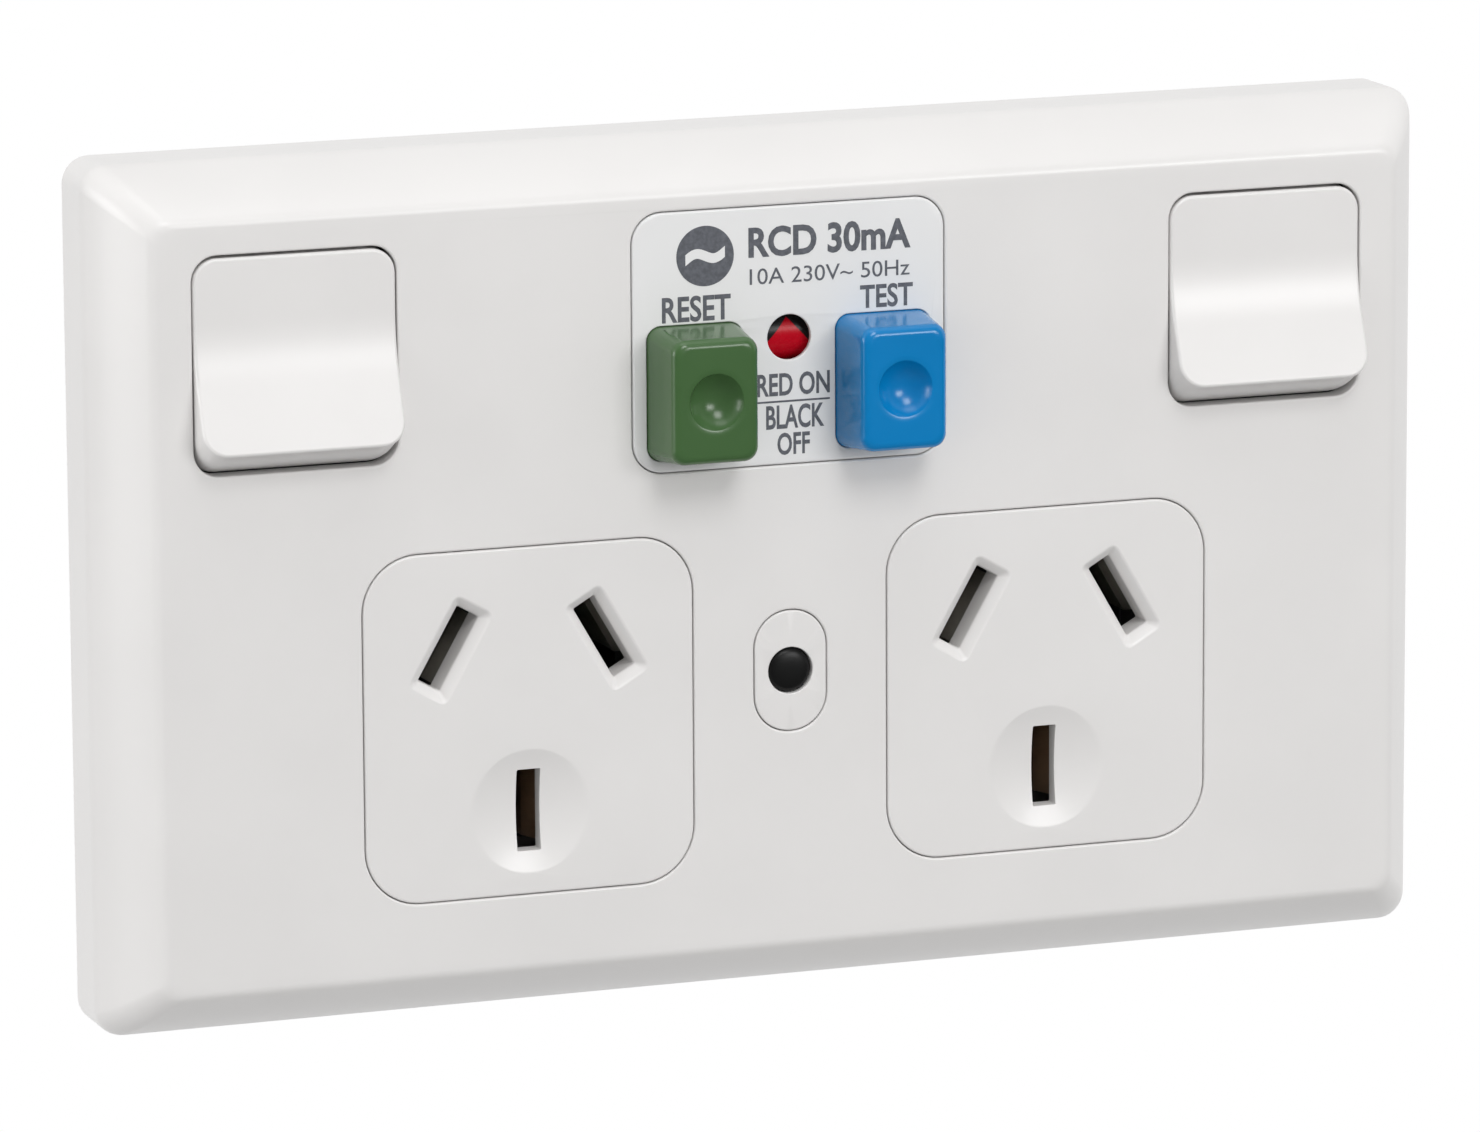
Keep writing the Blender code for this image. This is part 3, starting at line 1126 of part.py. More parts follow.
def build_solenoid():
    """Trip solenoid: yoke on the board, coil between its cheeks, armature through both."""
    coil_start = LEVER_X + LEVER_WIDTH / 2 + 2 * YOKE_PLATE + 2 * CLEARANCE
    coil_end = coil_start + COIL_LENGTH
    left = coil_start - CLEARANCE
    right = coil_end + CLEARANCE
    centre = (TRIP_LEVEL, TRIP_AXIS_Z)
    shelf = TRIP_LEVEL + COIL_RADIUS + CLEARANCE
    front = TRIP_LEVEL - COIL_RADIUS
    outline = [
        (left, front), (left, shelf), (right, shelf), (right, front), (right + YOKE_PLATE, front),
        (right + YOKE_PLATE, ON_BOARD), (right, ON_BOARD), (right, shelf + YOKE_PLATE),
        (left, shelf + YOKE_PLATE), (left, ON_BOARD), (left - YOKE_PLATE, ON_BOARD),
        (left - YOKE_PLATE, front),
    ]
    yoke = solid("solenoid_yoke", prism(outline, *about(TRIP_AXIS_Z, YOKE_WIDTH), AXIS_Z), ZINC_STEEL)
    bore = circle(ARMATURE_RADIUS + CLEARANCE, centre)
    cut(yoke, prism(bore, left - 2 * YOKE_PLATE, right + 2 * YOKE_PLATE, AXIS_X))
    winding = prism(circle(COIL_RADIUS, centre, FINE_SIDES), coil_start, coil_end, AXIS_X)
    coil = solid("solenoid_coil", winding, COPPER)
    cut(coil, prism(bore, coil_start - YOKE_PLATE, coil_end + YOKE_PLATE, AXIS_X))
    tip = LEVER_X + LEVER_WIDTH / 2 + CLEARANCE
    armature = solid("solenoid_armature",
                     prism(circle(ARMATURE_RADIUS, centre), tip, coil_end - YOKE_PLATE, AXIS_X),
                     ZINC_STEEL)
    ride(armature, pivot_empty("solenoid_armature_axis", (tip, *centre)))


def build_transformer():
    """Sensing transformer: ring core, winding over half of it, two conductors through it."""
    centre = (CORE_X, CORE_Z)
    back = ON_BOARD - WINDING_BUILD - CLEARANCE
    front = back - CORE_HEIGHT

    def ring(grow):
        outer = circle(CORE_RADIUS + grow, centre, FINE_SIDES)
        inner = circle(CORE_BORE - grow, centre, FINE_SIDES)
        corners = [(front - grow, outer), (back + grow, outer), (back + grow, inner),
                   (front - grow, inner)]
        return loft(corners, looped=True)

    solid("transformer_core", ring(0.0), FERRITE)
    build = CLEARANCE + WINDING_BUILD
    winding = solid("transformer_winding", ring(build), COPPER)
    reach = CORE_RADIUS + 2 * build
    cut(winding, block(CORE_X - reach, CORE_X + reach, front - CORE_HEIGHT, back + CORE_HEIGHT,
                       CORE_Z, CORE_Z + reach))
    cut(winding, ring(CLEARANCE))
    for label, hand in (("active", -1), ("neutral", 1)):
        middle = CORE_X + hand * (CONDUCTOR_RADIUS + CLEARANCE / 2)
        solid(f"{label}_conductor",
              turned([(ON_BOARD - CONDUCTOR_LENGTH, CONDUCTOR_RADIUS), (ON_BOARD, CONDUCTOR_RADIUS)],
                     (middle, CORE_Z), AXIS_Y, 8), COPPER)


def build_board():
    """Circuit board on the housing floor, with its test strip and test resistor."""
    half = BOARD_WIDTH / 2
    top = INNER_TOP - CLEARANCE
    solid("circuit_board", block(-half, half, BOARD_FRONT, BOARD_BACK, BOARD_BOTTOM, top), BOARD_GREEN)
    leg = half - CLEARANCE
    strip_front = STEM_END + BUTTON_TRAVEL + CLEARANCE
    outline = [
        (BUTTON_X - STEM_WIDTH / 2, strip_front), (leg, strip_front), (leg, ON_BOARD),
        (leg - TEST_STRIP_THICKNESS, ON_BOARD),
        (leg - TEST_STRIP_THICKNESS, strip_front + TEST_STRIP_THICKNESS),
        (BUTTON_X - STEM_WIDTH / 2, strip_front + TEST_STRIP_THICKNESS),
    ]
    solid("test_strip", prism(outline, *about(BUTTON_Z, TEST_STRIP_WIDTH), AXIS_Z), BRASS)
    half = RESISTOR_LENGTH / 2
    end = half + RESISTOR_LEAD
    profile = [(-end, RESISTOR_WIRE), (-half, RESISTOR_WIRE), (-half, RESISTOR_RADIUS),
               (half, RESISTOR_RADIUS), (half, RESISTOR_WIRE), (end, RESISTOR_WIRE)]
    resistor = [(RESISTOR_X + along, radius) for along, radius in profile]
    centre = (ON_BOARD - RESISTOR_RADIUS, RESISTOR_Z)
    solid("test_resistor", turned(resistor, centre, AXIS_X), BLUE_PLASTIC)


def main():
    """Build every piece of the outlet."""
    clear_scene()
    build_cover_plate()
    build_frame()
    build_housing()
    build_carrier()
    build_panel()
    build_cap()
    for side, label in ((-1, "left"), (1, "right")):
        build_socket_face(side, f"{label}_socket_face")
        build_rocker(side, label)
        build_rocker_pin(side, label)
        build_switch(side, label)
        build_active_contact(side, label)
    build_neutral_bar()
    build_earth_bar()
    build_terminals()
    for index, centre in enumerate(post_places(), start=1):
        build_screw(f"housing_screw_{index}", centre, HOUSING_DEPTH + CLEARANCE,
                    FRAME_FRONT + 2 * CLEARANCE)
    build_button(-1, "reset", GREEN_PLASTIC)
    build_button(1, "test", BLUE_PLASTIC)
    build_flag()
    build_board()
    build_carriage()
    build_trip_lever()
    build_solenoid()
    build_transformer()


main()
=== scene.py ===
"""Looks of a twin switched socket outlet with a residual-current trip module.

Shapes are drawn in millimetres with x to the right, y into the wall and z up, in the frame of
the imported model, and are brought to metres when a piece is finished.
"""

from __future__ import annotations

import logging
from dataclasses import dataclass, replace
from enum import Enum
from math import asin, atan2, cos, hypot, pi, radians, sin, tan
from typing import Any, Mapping, Sequence

import bmesh
import bpy
from bmesh.types import BMEdge, BMFace
from mathutils import Matrix, Vector

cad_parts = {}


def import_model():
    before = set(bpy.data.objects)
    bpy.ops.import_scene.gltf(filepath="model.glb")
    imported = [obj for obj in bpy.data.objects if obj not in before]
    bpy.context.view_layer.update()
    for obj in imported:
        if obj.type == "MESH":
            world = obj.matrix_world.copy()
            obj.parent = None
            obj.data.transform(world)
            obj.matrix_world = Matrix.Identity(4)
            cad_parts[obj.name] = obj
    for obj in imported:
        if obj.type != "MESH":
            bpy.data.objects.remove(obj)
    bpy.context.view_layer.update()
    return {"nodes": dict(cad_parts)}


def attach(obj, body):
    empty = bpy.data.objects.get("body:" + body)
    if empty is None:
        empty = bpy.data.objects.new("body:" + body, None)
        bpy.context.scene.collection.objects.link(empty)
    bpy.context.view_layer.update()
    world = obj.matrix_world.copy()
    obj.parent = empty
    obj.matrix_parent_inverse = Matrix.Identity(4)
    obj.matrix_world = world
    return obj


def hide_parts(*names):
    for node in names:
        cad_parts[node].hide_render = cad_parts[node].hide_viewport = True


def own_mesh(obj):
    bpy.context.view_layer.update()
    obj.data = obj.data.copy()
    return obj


LOG = logging.getLogger("outlet")

MM = 0.001
# Depths of the plate's face, of the inserts' seat on the mounting frame, and of their flanges.
FRONT = -12.0
SEAT = -2.8
FLANGE_FRONT = -4.3
# How far an opening is drawn in, and how far an insert is then drawn in from the opening's outline.
SEAM = 0.11
INSERT_FIT = SEAM - 0.3
SIGN = (-7.45, 27.04)
FINE_SIDES = 64
FLAT_FACE_WEIGHT = 90

Colour = tuple[float, float, float]
Point = tuple[float, float]
Loop = list[BMEdge]


class Edge(Enum):
    """Which way a rounded edge turns: into a hole, or round the outside of an insert."""

    HOLE = 1.0
    INSERT = -1.0


class Side(Enum):
    """The two halves of the outlet."""

    LEFT = -1
    RIGHT = 1

    @property
    def label(self) -> str:
        """Word that starts the names of this side's pieces."""
        return self.name.lower()


class Facing(Enum):
    """Faces that carry marks: depth of the plane, and turn about the upright axis."""

    ROOM = (FRONT, 0.0)
    WALL = (30.0, pi)


class Slot(Enum):
    """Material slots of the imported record."""

    WHITE = "white_plastic"
    PANEL = "panel_plastic"
    GREEN = "green_plastic"
    BLUE = "blue_plastic"
    RED = "red_plastic"
    BLACK = "black_plastic"
    GREY = "grey_plastic"
    STEEL = "zinc_steel"


class Term:
    """Number in a shader, with Python operators that add Math nodes."""

    def __init__(self, graph: ShaderGraph, socket: bpy.types.NodeSocket) -> None:
        """Wrap an output socket of a node tree."""
        self.graph = graph
        self.socket = socket

    def _math(self, operation: str, first: Any, second: Any) -> Term:
        """Result of a Math node on two values, each a term or a number."""
        node = self.graph.node("ShaderNodeMath", {"operation": operation}, {0: first, 1: second})
        return Term(self.graph, node.outputs[0])

    def __add__(self, other: Any) -> Term:
        """Sum of this and another value."""
        return self._math("ADD", self, other)

    def __sub__(self, other: Any) -> Term:
        """This value less another."""
        return self._math("SUBTRACT", self, other)

    def __rsub__(self, other: Any) -> Term:
        """Another value less this."""
        return self._math("SUBTRACT", other, self)

    def __mul__(self, other: Any) -> Term:
        """Product of this and another value."""
        return self._math("MULTIPLY", self, other)

    def __abs__(self) -> Term:
        """Size of this value without its sign."""
        return self._math("ABSOLUTE", self, 0.0)

    def fraction(self) -> Term:
        """What is left of this value above the next whole number below."""
        return self._math("FRACT", self, 0.0)

    def most(self, other: Any) -> Term:
        """Larger of this and another value."""
        return self._math("MAXIMUM", self, other)

    def rise(self, low: float, high: float) -> Term:
        """Smooth step of this value: 0 below low and 1 above high."""
        node = self.graph.node("ShaderNodeMapRange", {"interpolation_type": "SMOOTHSTEP"},
                               {"Value": self, "From Min": low, "From Max": high})
        return Term(self.graph, node.outputs[0])


class ShaderGraph:
    """Node tree of a material or of the world."""

    def __init__(self, tree: bpy.types.NodeTree) -> None:
        """Clear a tree, to be filled anew."""
        self.tree = tree
        tree.nodes.clear()

    def node(
        self,
        kind: str,
        settings: Mapping[str, Any] | None = None,
        inputs: Mapping[str | int, Any] | None = None,
    ) -> bpy.types.Node:
        """Add a node.

        Args:
            kind: The node's type.
            settings: Properties of the node, set first.
            inputs: Values or links of its sockets, by name or number.

        Returns:
            The new node.
        """
        made = self.tree.nodes.new(kind)
        for name, value in (settings or {}).items():
            setattr(made, name, value)
        for name, value in (inputs or {}).items():
            self.feed(made.inputs[name], value)
        return made

    def feed(self, socket: bpy.types.NodeSocket, value: Any) -> None:
        """Link an input socket to a term or another socket, or set its plain value."""
        if isinstance(value, Term):
            self.tree.links.new(value.socket, socket)
        elif isinstance(value, bpy.types.NodeSocket):
            self.tree.links.new(value, socket)
        else:
            socket.default_value = value

    def place(self) -> bpy.types.NodeSocket:
        """Object coordinates of the shaded point, in metres."""
        return self.node("ShaderNodeTexCoord").outputs["Object"]

    def axes(self) -> tuple[Term, Term, Term]:
        """Object coordinates of the shaded point as three numbers, in metres."""
        parts = self.node("ShaderNodeSeparateXYZ", None, {0: self.place()}).outputs
        return (Term(self, parts[0]), Term(self, parts[1]), Term(self, parts[2]))

    def noise(self, size: float, detail: float = 2.0, stretch: Sequence[float] = (1, 1, 1)) -> Term:
        """Noise on object coordinates.

        Args:
            size: Size of its features in millimetres.
            detail: How many finer layers it has.
            stretch: How much closer its features lie along each axis.

        Returns:
            A number about 0.5.
        """
        mapping = self.node("ShaderNodeMapping", None, {"Vector": self.place(), "Scale": tuple(stretch)})
        made = self.node(
            "ShaderNodeTexNoise",
            None,
            {"Vector": mapping.outputs[0], "Scale": 1.0 / (size * MM), "Detail": detail},
        )
        return Term(self, made.outputs[0])

    def blend(self, share: Any, first: Any, second: Any) -> bpy.types.NodeSocket:
        """Mix of two colours or sockets, with this share of the second."""
        ends = [(*end, 1.0) if isinstance(end, tuple) else end for end in (first, second)]
        mix = self.node("ShaderNodeMix", {"data_type": "RGBA"}, {0: share, 6: ends[0], 7: ends[1]})
        return mix.outputs[2]

    def bump(self, height: Term, depth: float) -> bpy.types.NodeSocket:
        """Normal bent by a relief from 0 to 1 that is this many millimetres deep."""
        made = self.node("ShaderNodeBump", None, {"Height": height, "Distance": depth * MM})
        return made.outputs[0]

    def ray(self, question: str) -> Term:
        """Answer of the Light Path node to a question about the ray, 0 or 1."""
        return Term(self, self.node("ShaderNodeLightPath").outputs[question])

    def output(self, shader: bpy.types.Node, kind: str = "ShaderNodeOutputMaterial") -> None:
        """Send a shader to the tree's output."""
        self.node(kind, None, {"Surface": shader.outputs[0]})

    def principled(self, inputs: Mapping[str, Any]) -> None:
        """Send a Principled shader with these inputs to the tree's output."""
        self.output(self.node("ShaderNodeBsdfPrincipled", None, inputs))


def new_material(name: str) -> tuple[bpy.types.Material, ShaderGraph]:
    """Empty material with its node tree."""
    material = bpy.data.materials.new(name)
    material.use_nodes = True
    return material, ShaderGraph(material.node_tree)


def shade(colour: Colour, amount: float) -> Colour:
    """Colour made lighter or darker by a factor."""
    return (colour[0] * amount, colour[1] * amount, colour[2] * amount)


@dataclass(frozen=True)
class Finish:
    """Look of one kind of surface."""

    name: str

    def inputs(self, graph: ShaderGraph) -> dict[str, Any]:
        """Inputs of the shader."""
        raise NotImplementedError

    def make(self) -> bpy.types.Material:
        """Node material of this finish."""
        material, graph = new_material(self.name)
        graph.principled(self.inputs(graph))
        return material


@dataclass(frozen=True)
class MouldedPlastic(Finish):
    """Moulded plastic: a faint mottle in its tint, a fine grain, and a little more gloss in places."""

    colour: Colour
    roughness: float
    mottle: float = 0.012
    grain_size: float = 0.35
    grain_depth: float = 0.0004
    patchiness: float = 0.02
    shine: float = 0.5

    def inputs(self, graph: ShaderGraph) -> dict[str, Any]:
        """Inputs of the shader."""
        cloud = graph.noise(14.0, 3.0).rise(0.3, 0.7)
        grain = graph.noise(self.grain_size, 2.0)
        tint = graph.blend(cloud, shade(self.colour, 1 - self.mottle), shade(self.colour, 1 + self.mottle))
        roughness = (grain + cloud) * self.patchiness + (self.roughness - self.patchiness)
        return {
            "Base Color": tint,
            "Roughness": roughness,
            "Specular IOR Level": self.shine,
            "Normal": graph.bump(grain, self.grain_depth),
        }


@dataclass(frozen=True)
class RolledMetal(Finish):
    """Stamped or turned metal: fine rolling lines and a little tarnish."""

    colour: Colour
    tarnish: Colour
    roughness: float
    line_size: float = 0.25

    def inputs(self, graph: ShaderGraph) -> dict[str, Any]:
        """Inputs of the shader."""
        lines = graph.noise(self.line_size, 2.0, (0.06, 1.0, 1.0))
        stain = graph.noise(4.0, 4.0).rise(0.45, 0.8)
        return {
            "Base Color": graph.blend(stain * 0.6, self.colour, self.tarnish),
            "Metallic": 1.0,
            "Roughness": lines * 0.14 + stain * 0.1 + (self.roughness - 0.07),
            "Normal": graph.bump(lines, 0.004),
        }


@dataclass(frozen=True)
class WoundWire(Finish):
    """Enamelled copper wire laid turn by turn: a fine thread along one axis, with painted shade that darkens
    the grooves between turns.
    """

    colour: Colour
    pitch: float
    axis: int

    def inputs(self, graph: ShaderGraph) -> dict[str, Any]:
        """Inputs of the shader."""
        turn = (graph.axes()[self.axis] * (1.0 / (self.pitch * MM))).fraction()
        thread_and_groove_shade = 1.0 - abs(turn * 2.0 - 1.0)
        stain = graph.noise(2.0, 3.0)
        return {
            # painted shade: the colour falls to about a third of the wire's tint in the grooves between turns,
            # while the same profile also bends the normal
            "Base Color": graph.blend(thread_and_groove_shade, shade(self.colour, 0.35), self.colour),
            "Metallic": 0.85,
            "Roughness": stain * 0.2 + 0.25,
            "Normal": graph.bump(thread_and_groove_shade, self.pitch / 3),
        }


@dataclass(frozen=True)
class SolderMask(Finish):
    """Circuit board: green mask over copper tracks."""

    mask: Colour
    track: Colour
    pitch: float

    def inputs(self, graph: ShaderGraph) -> dict[str, Any]:
        """Inputs of the shader."""
        x, _, z = graph.axes()
        wander = graph.noise(6.0, 1.0)
        lane = ((x + wander * 0.004) * (1.0 / (self.pitch * MM))).fraction()
        cross = ((z + wander * 0.005) * (0.6 / (self.pitch * MM))).fraction()
        tracks = abs(lane - 0.5).rise(0.3, 0.34).most(abs(cross - 0.5).rise(0.36, 0.4))
        grain = graph.noise(0.3, 2.0)
        return {
            "Base Color": graph.blend(tracks, self.mask, self.track),
            "Roughness": grain * 0.12 + 0.28,
            "Normal": graph.bump(tracks, 0.03),
        }


@dataclass(frozen=True)
class FlagPaint(Finish):
    """Indicator drum: black, with a red field painted on the part that faces out when reset."""

    red: Colour
    black: Colour
    apex_z: float
    axis_y: float
    apex_x: float
    slope: float

    def inputs(self, graph: ShaderGraph) -> dict[str, Any]:
        """Inputs of the shader."""
        x, y, z = graph.axes()
        roof = (self.apex_z * MM - z) - abs(x - self.apex_x * MM) * self.slope
        front = (self.axis_y * MM - y).rise(0.0, 0.15 * MM)
        field = roof.rise(-0.06 * MM, 0.06 * MM) * front
        speck = graph.noise(0.5, 3.0)
        return {
            "Base Color": graph.blend(field, self.black, self.red),
            "Specular IOR Level": 0.2,
            "Roughness": speck * 0.1 + 0.22,
            "Normal": graph.bump(speck, 0.004),
        }


@dataclass(frozen=True)
class PrintInk(Finish):
    """Pad-printed ink with slightly uneven cover."""

    colour: Colour

    def inputs(self, graph: ShaderGraph) -> dict[str, Any]:
        """Inputs of the shader."""
        cover = graph.noise(0.4, 3.0).rise(0.3, 0.75)
        return {
            "Base Color": graph.blend(cover, self.colour, shade(self.colour, 1.5)),
            "Roughness": cover * 0.1 + 0.45,
        }


@dataclass(frozen=True)
class RoundedBox:
    """Rectangle with round corners in a plane that faces the room."""

    width: float
    height: float
    corner: float
    centre: Point = (0.0, 0.0)
    turn: float = 0.0
    steps: int = 8

    def grown(self, amount: float) -> RoundedBox:
        """The same outline drawn out all round by an amount."""
        return replace(
            self,
            width=self.width + 2 * amount,
            height=self.height + 2 * amount,
            corner=max(self.corner + amount, 0.05),
        )

    def on(self, side: Side) -> RoundedBox:
        """The same outline of the right side, moved to a side."""
        return replace(self, centre=(side.value * self.centre[0], self.centre[1]))

    def draw(self, shape: bmesh.types.BMesh, y: float) -> Loop:
        """Draw the outline as a closed loop of edges.

        Args:
            shape: Mesh to draw into.
            y: Depth of the outline.

        Returns:
            The loop's edges.
        """
        before = set(shape.faces)
        matrix = (
            Matrix.Translation((self.centre[0], y, self.centre[1]))
            @ Matrix.Rotation(self.turn, 4, "Y")
            @ Matrix.Rotation(pi / 2, 4, "X")
            @ Matrix.Diagonal((self.width, self.height, 1.0, 1.0))
        )
        made = bmesh.ops.create_grid(shape, x_segments=1, y_segments=1, size=0.5, matrix=matrix)
        bmesh.ops.bevel(
            shape, geom=made["verts"], offset=self.corner, offset_type="OFFSET", segments=self.steps,
            profile=0.5, affect="VERTICES", clamp_overlap=False, material=-1,
        )
        face = next(face for face in shape.faces if face not in before)
        loop = list(face.edges)
        bmesh.ops.delete(shape, geom=[face], context="FACES_ONLY")
        return loop


@dataclass(frozen=True)
class Disc:
    """Circle in a plane that faces the room."""

    radius: float
    centre: Point = (0.0, 0.0)
    sides: int = 48

    def grown(self, amount: float) -> Disc:
        """The same circle drawn out all round by an amount."""
        return replace(self, radius=self.radius + amount)

    def draw(self, shape: bmesh.types.BMesh, y: float) -> Loop:
        """Draw the circle as a closed loop of edges.

        Args:
            shape: Mesh to draw into.
            y: Depth of the circle.

        Returns:
            The loop's edges.
        """
        matrix = Matrix.Translation((self.centre[0], y, self.centre[1])) @ Matrix.Rotation(pi / 2, 4, "X")
        made = bmesh.ops.create_circle(
            shape, cap_ends=False, segments=self.sides, radius=self.radius, matrix=matrix
        )
        return list(dict.fromkeys(edge for vert in made["verts"] for edge in vert.link_edges))


@dataclass(frozen=True)
class Cross:
    """Upright cross in a plane that faces the room or the wall."""

    reach: float
    width: float
    centre: Point = (0.0, 0.0)

    def draw(self, shape: bmesh.types.BMesh, y: float) -> Loop:
        """Draw the cross as a closed loop of edges.

        Args:
            shape: Mesh to draw into.
            y: Depth of the cross.

        Returns:
            The loop's edges.
        """
        before = set(shape.faces)
        made = bmesh.ops.create_grid(shape, x_segments=3, y_segments=3, size=1.0,
                                     matrix=Matrix.Rotation(pi / 2, 4, "X"))
        for vert in made["verts"]:
            for axis in (0, 2):
                size = self.reach if abs(vert.co[axis]) > 0.5 else self.width / 2
                vert.co[axis] = size if vert.co[axis] > 0 else -size
        faces = [face for face in shape.faces if face not in before]
        middles = {face: face.calc_center_median() for face in faces}
        corners = [face for face in faces if min(abs(middles[face].x), abs(middles[face].z)) > self.width / 2]
        bmesh.ops.delete(shape, geom=corners, context="FACES")
        arms = [face for face in faces if face.is_valid]
        whole = bmesh.ops.dissolve_faces(shape, faces=arms)["region"][0]
        loop = list(whole.edges)
        bmesh.ops.translate(shape, vec=(self.centre[0], y, self.centre[1]), verts=list(whole.verts))
        bmesh.ops.delete(shape, geom=[whole], context="FACES_ONLY")
        return loop


Outline = RoundedBox | Disc | Cross


class Form:
    """Mesh under construction, in millimetres."""

    def __init__(self) -> None:
        """Start with nothing."""
        self.shape = bmesh.new()

    def ring(self, outline: Outline, y: float) -> Loop:
        """Outline drawn at a depth."""
        return outline.draw(self.shape, y)

    def bridge(self, first: Loop, second: Loop) -> list[BMFace]:
        """Skin between two loops."""
        return bmesh.ops.bridge_loops(self.shape, edges=first + second)["faces"]

    def chain(self, loops: Sequence[Loop]) -> None:
        """Skin through a row of loops, with a flat ring where two of them lie in one plane."""
        for first, second in zip(loops, loops[1:]):
            step = first[0].verts[0].co.y - second[0].verts[0].co.y
            if abs(step) < 0.0001:
                self.fill(first, second)
            else:
                self.bridge(first, second)

    def fill(self, *loops: Loop) -> None:
        """Flat face between an outer loop and any loops inside it."""
        edges = [edge for loop in loops for edge in loop]
        bmesh.ops.triangle_fill(self.shape, edges=edges, normal=(0.0, -1.0, 0.0), use_beauty=True)

    def rounded_edge(self, outline: Outline, y: float, radius: float, edge: Edge, steps: int = 3) -> list[Loop]:
        """Loops of a quarter-round edge, from the face back to where the wall starts.

        Args:
            outline: Outline of the wall.
            y: Depth of the face.
            radius: Radius of the edge.
            edge: Whether the wall goes round a hole or an insert.
            steps: How many faces the rounding has.

        Returns:
            The loops, the face's first.
        """
        loops = []
        for step in range(steps + 1):
            angle = step / steps * pi / 2
            growth = edge.value * radius * (1 - sin(angle))
            loops.append(self.ring(outline.grown(growth), y + radius * (1 - cos(angle))))
        return loops

    def bore(self, outline: Outline, radius: float, *stops: tuple[Outline, float]) -> tuple[Loop, Loop]:
        """Draw a hole from the face that has a rounded edge.

        Args:
            outline: Outline of the hole.
            radius: Radius of its edge.
            stops: Outlines and depths that its wall runs through, the last at its end.

        Returns:
            The loops in the face and at the end.
        """
        loops = self.rounded_edge(outline, FRONT, radius, Edge.HOLE)
        loops += [self.ring(*stop) for stop in stops]
        self.chain(loops)
        return loops[0], loops[-1]

    def round_off(self, edges: Sequence[BMEdge], radius: float, steps: int) -> None:
        """Round some edges with this many faces."""
        bmesh.ops.bevel(self.shape, geom=edges, offset=radius, offset_type="OFFSET", segments=steps,
                        profile=0.5, affect="EDGES", clamp_overlap=True, material=-1)

    def closed(self, loops: Sequence[Loop]) -> None:
        """Skin through a row of loops, closed at both ends."""
        self.chain(loops)
        self.fill(loops[0])
        self.fill(loops[-1])

    def build(self, name: str, material: bpy.types.Material, sharp: float = 38.0) -> bpy.types.Object:
        """Finish the mesh as a piece in metres.

        Args:
            name: The piece's name.
            material: Its material.
            sharp: Angle in degrees from which an edge stays crisp.

        Returns:
            The new object.
        """
        shape = self.shape
        bmesh.ops.remove_doubles(shape, verts=shape.verts, dist=0.0005)
        bmesh.ops.recalc_face_normals(shape, faces=shape.faces)
        bmesh.ops.scale(shape, vec=(MM, MM, MM), verts=shape.verts)
        mesh = bpy.data.meshes.new(name)
        shape.to_mesh(mesh)
        shape.free()
        mesh.shade_smooth()
        mesh.set_sharp_from_angle(angle=radians(sharp))
        mesh.materials.append(material)
        piece = bpy.data.objects.new(name, mesh)
        bpy.context.scene.collection.objects.link(piece)
        normals = piece.modifiers.new("flat_faces_stay_flat", "WEIGHTED_NORMAL")
        normals.keep_sharp = True
        normals.weight = FLAT_FACE_WEIGHT
        return piece


def place_piece(piece: bpy.types.Object, body: str, slot: Slot, *nodes: str) -> None:
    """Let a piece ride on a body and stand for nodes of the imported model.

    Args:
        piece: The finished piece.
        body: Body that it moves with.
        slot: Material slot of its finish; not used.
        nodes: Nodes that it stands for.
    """
    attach(piece, body)
    if nodes:
        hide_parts(*nodes)
    LOG.info("%s: %d faces, on %s", piece.name, len(piece.data.polygons), body)


def softened(points: Sequence[Point], index: int, reach: float, steps: int = 5) -> list[Point]:
    """Profile with one of its corners rounded.

    Args:
        points: Points of the profile.
        index: Which point to round.
        reach: How far the rounding runs along each side.
        steps: How many points the rounding has, less one.

    Returns:
        The new profile.
    """
    corner = Vector(points[index])
    start = corner + (Vector(points[index - 1]) - corner).normalized() * reach
    end = corner + (Vector(points[index + 1]) - corner).normalized() * reach
    arc = []
    for step in range(steps + 1):
        share = step / steps
        arc.append(tuple(start.lerp(corner, share).lerp(corner.lerp(end, share), share)))
    return [*points[:index], *arc, *points[index + 1:]]


@dataclass(frozen=True)
class Layout:
    """Openings of the cover plate and the panel; of a pair, the right one."""

    socket: RoundedBox = RoundedBox(29.4, 30.0, 5.0, (23.25, -11.3), steps=12)
    rocker: RoundedBox = RoundedBox(17.65, 18.4, 2.2, (43.25, 20.5))
    button: RoundedBox = RoundedBox(8.53, 11.43, 1.24, (8.4, 15.62))
    panel: RoundedBox = RoundedBox(28.2, 22.35, 2.8, (0.0, 19.9), steps=10)
    pocket: RoundedBox = RoundedBox(6.8, 10.7, 3.3, (0.0, -8.8), steps=12)


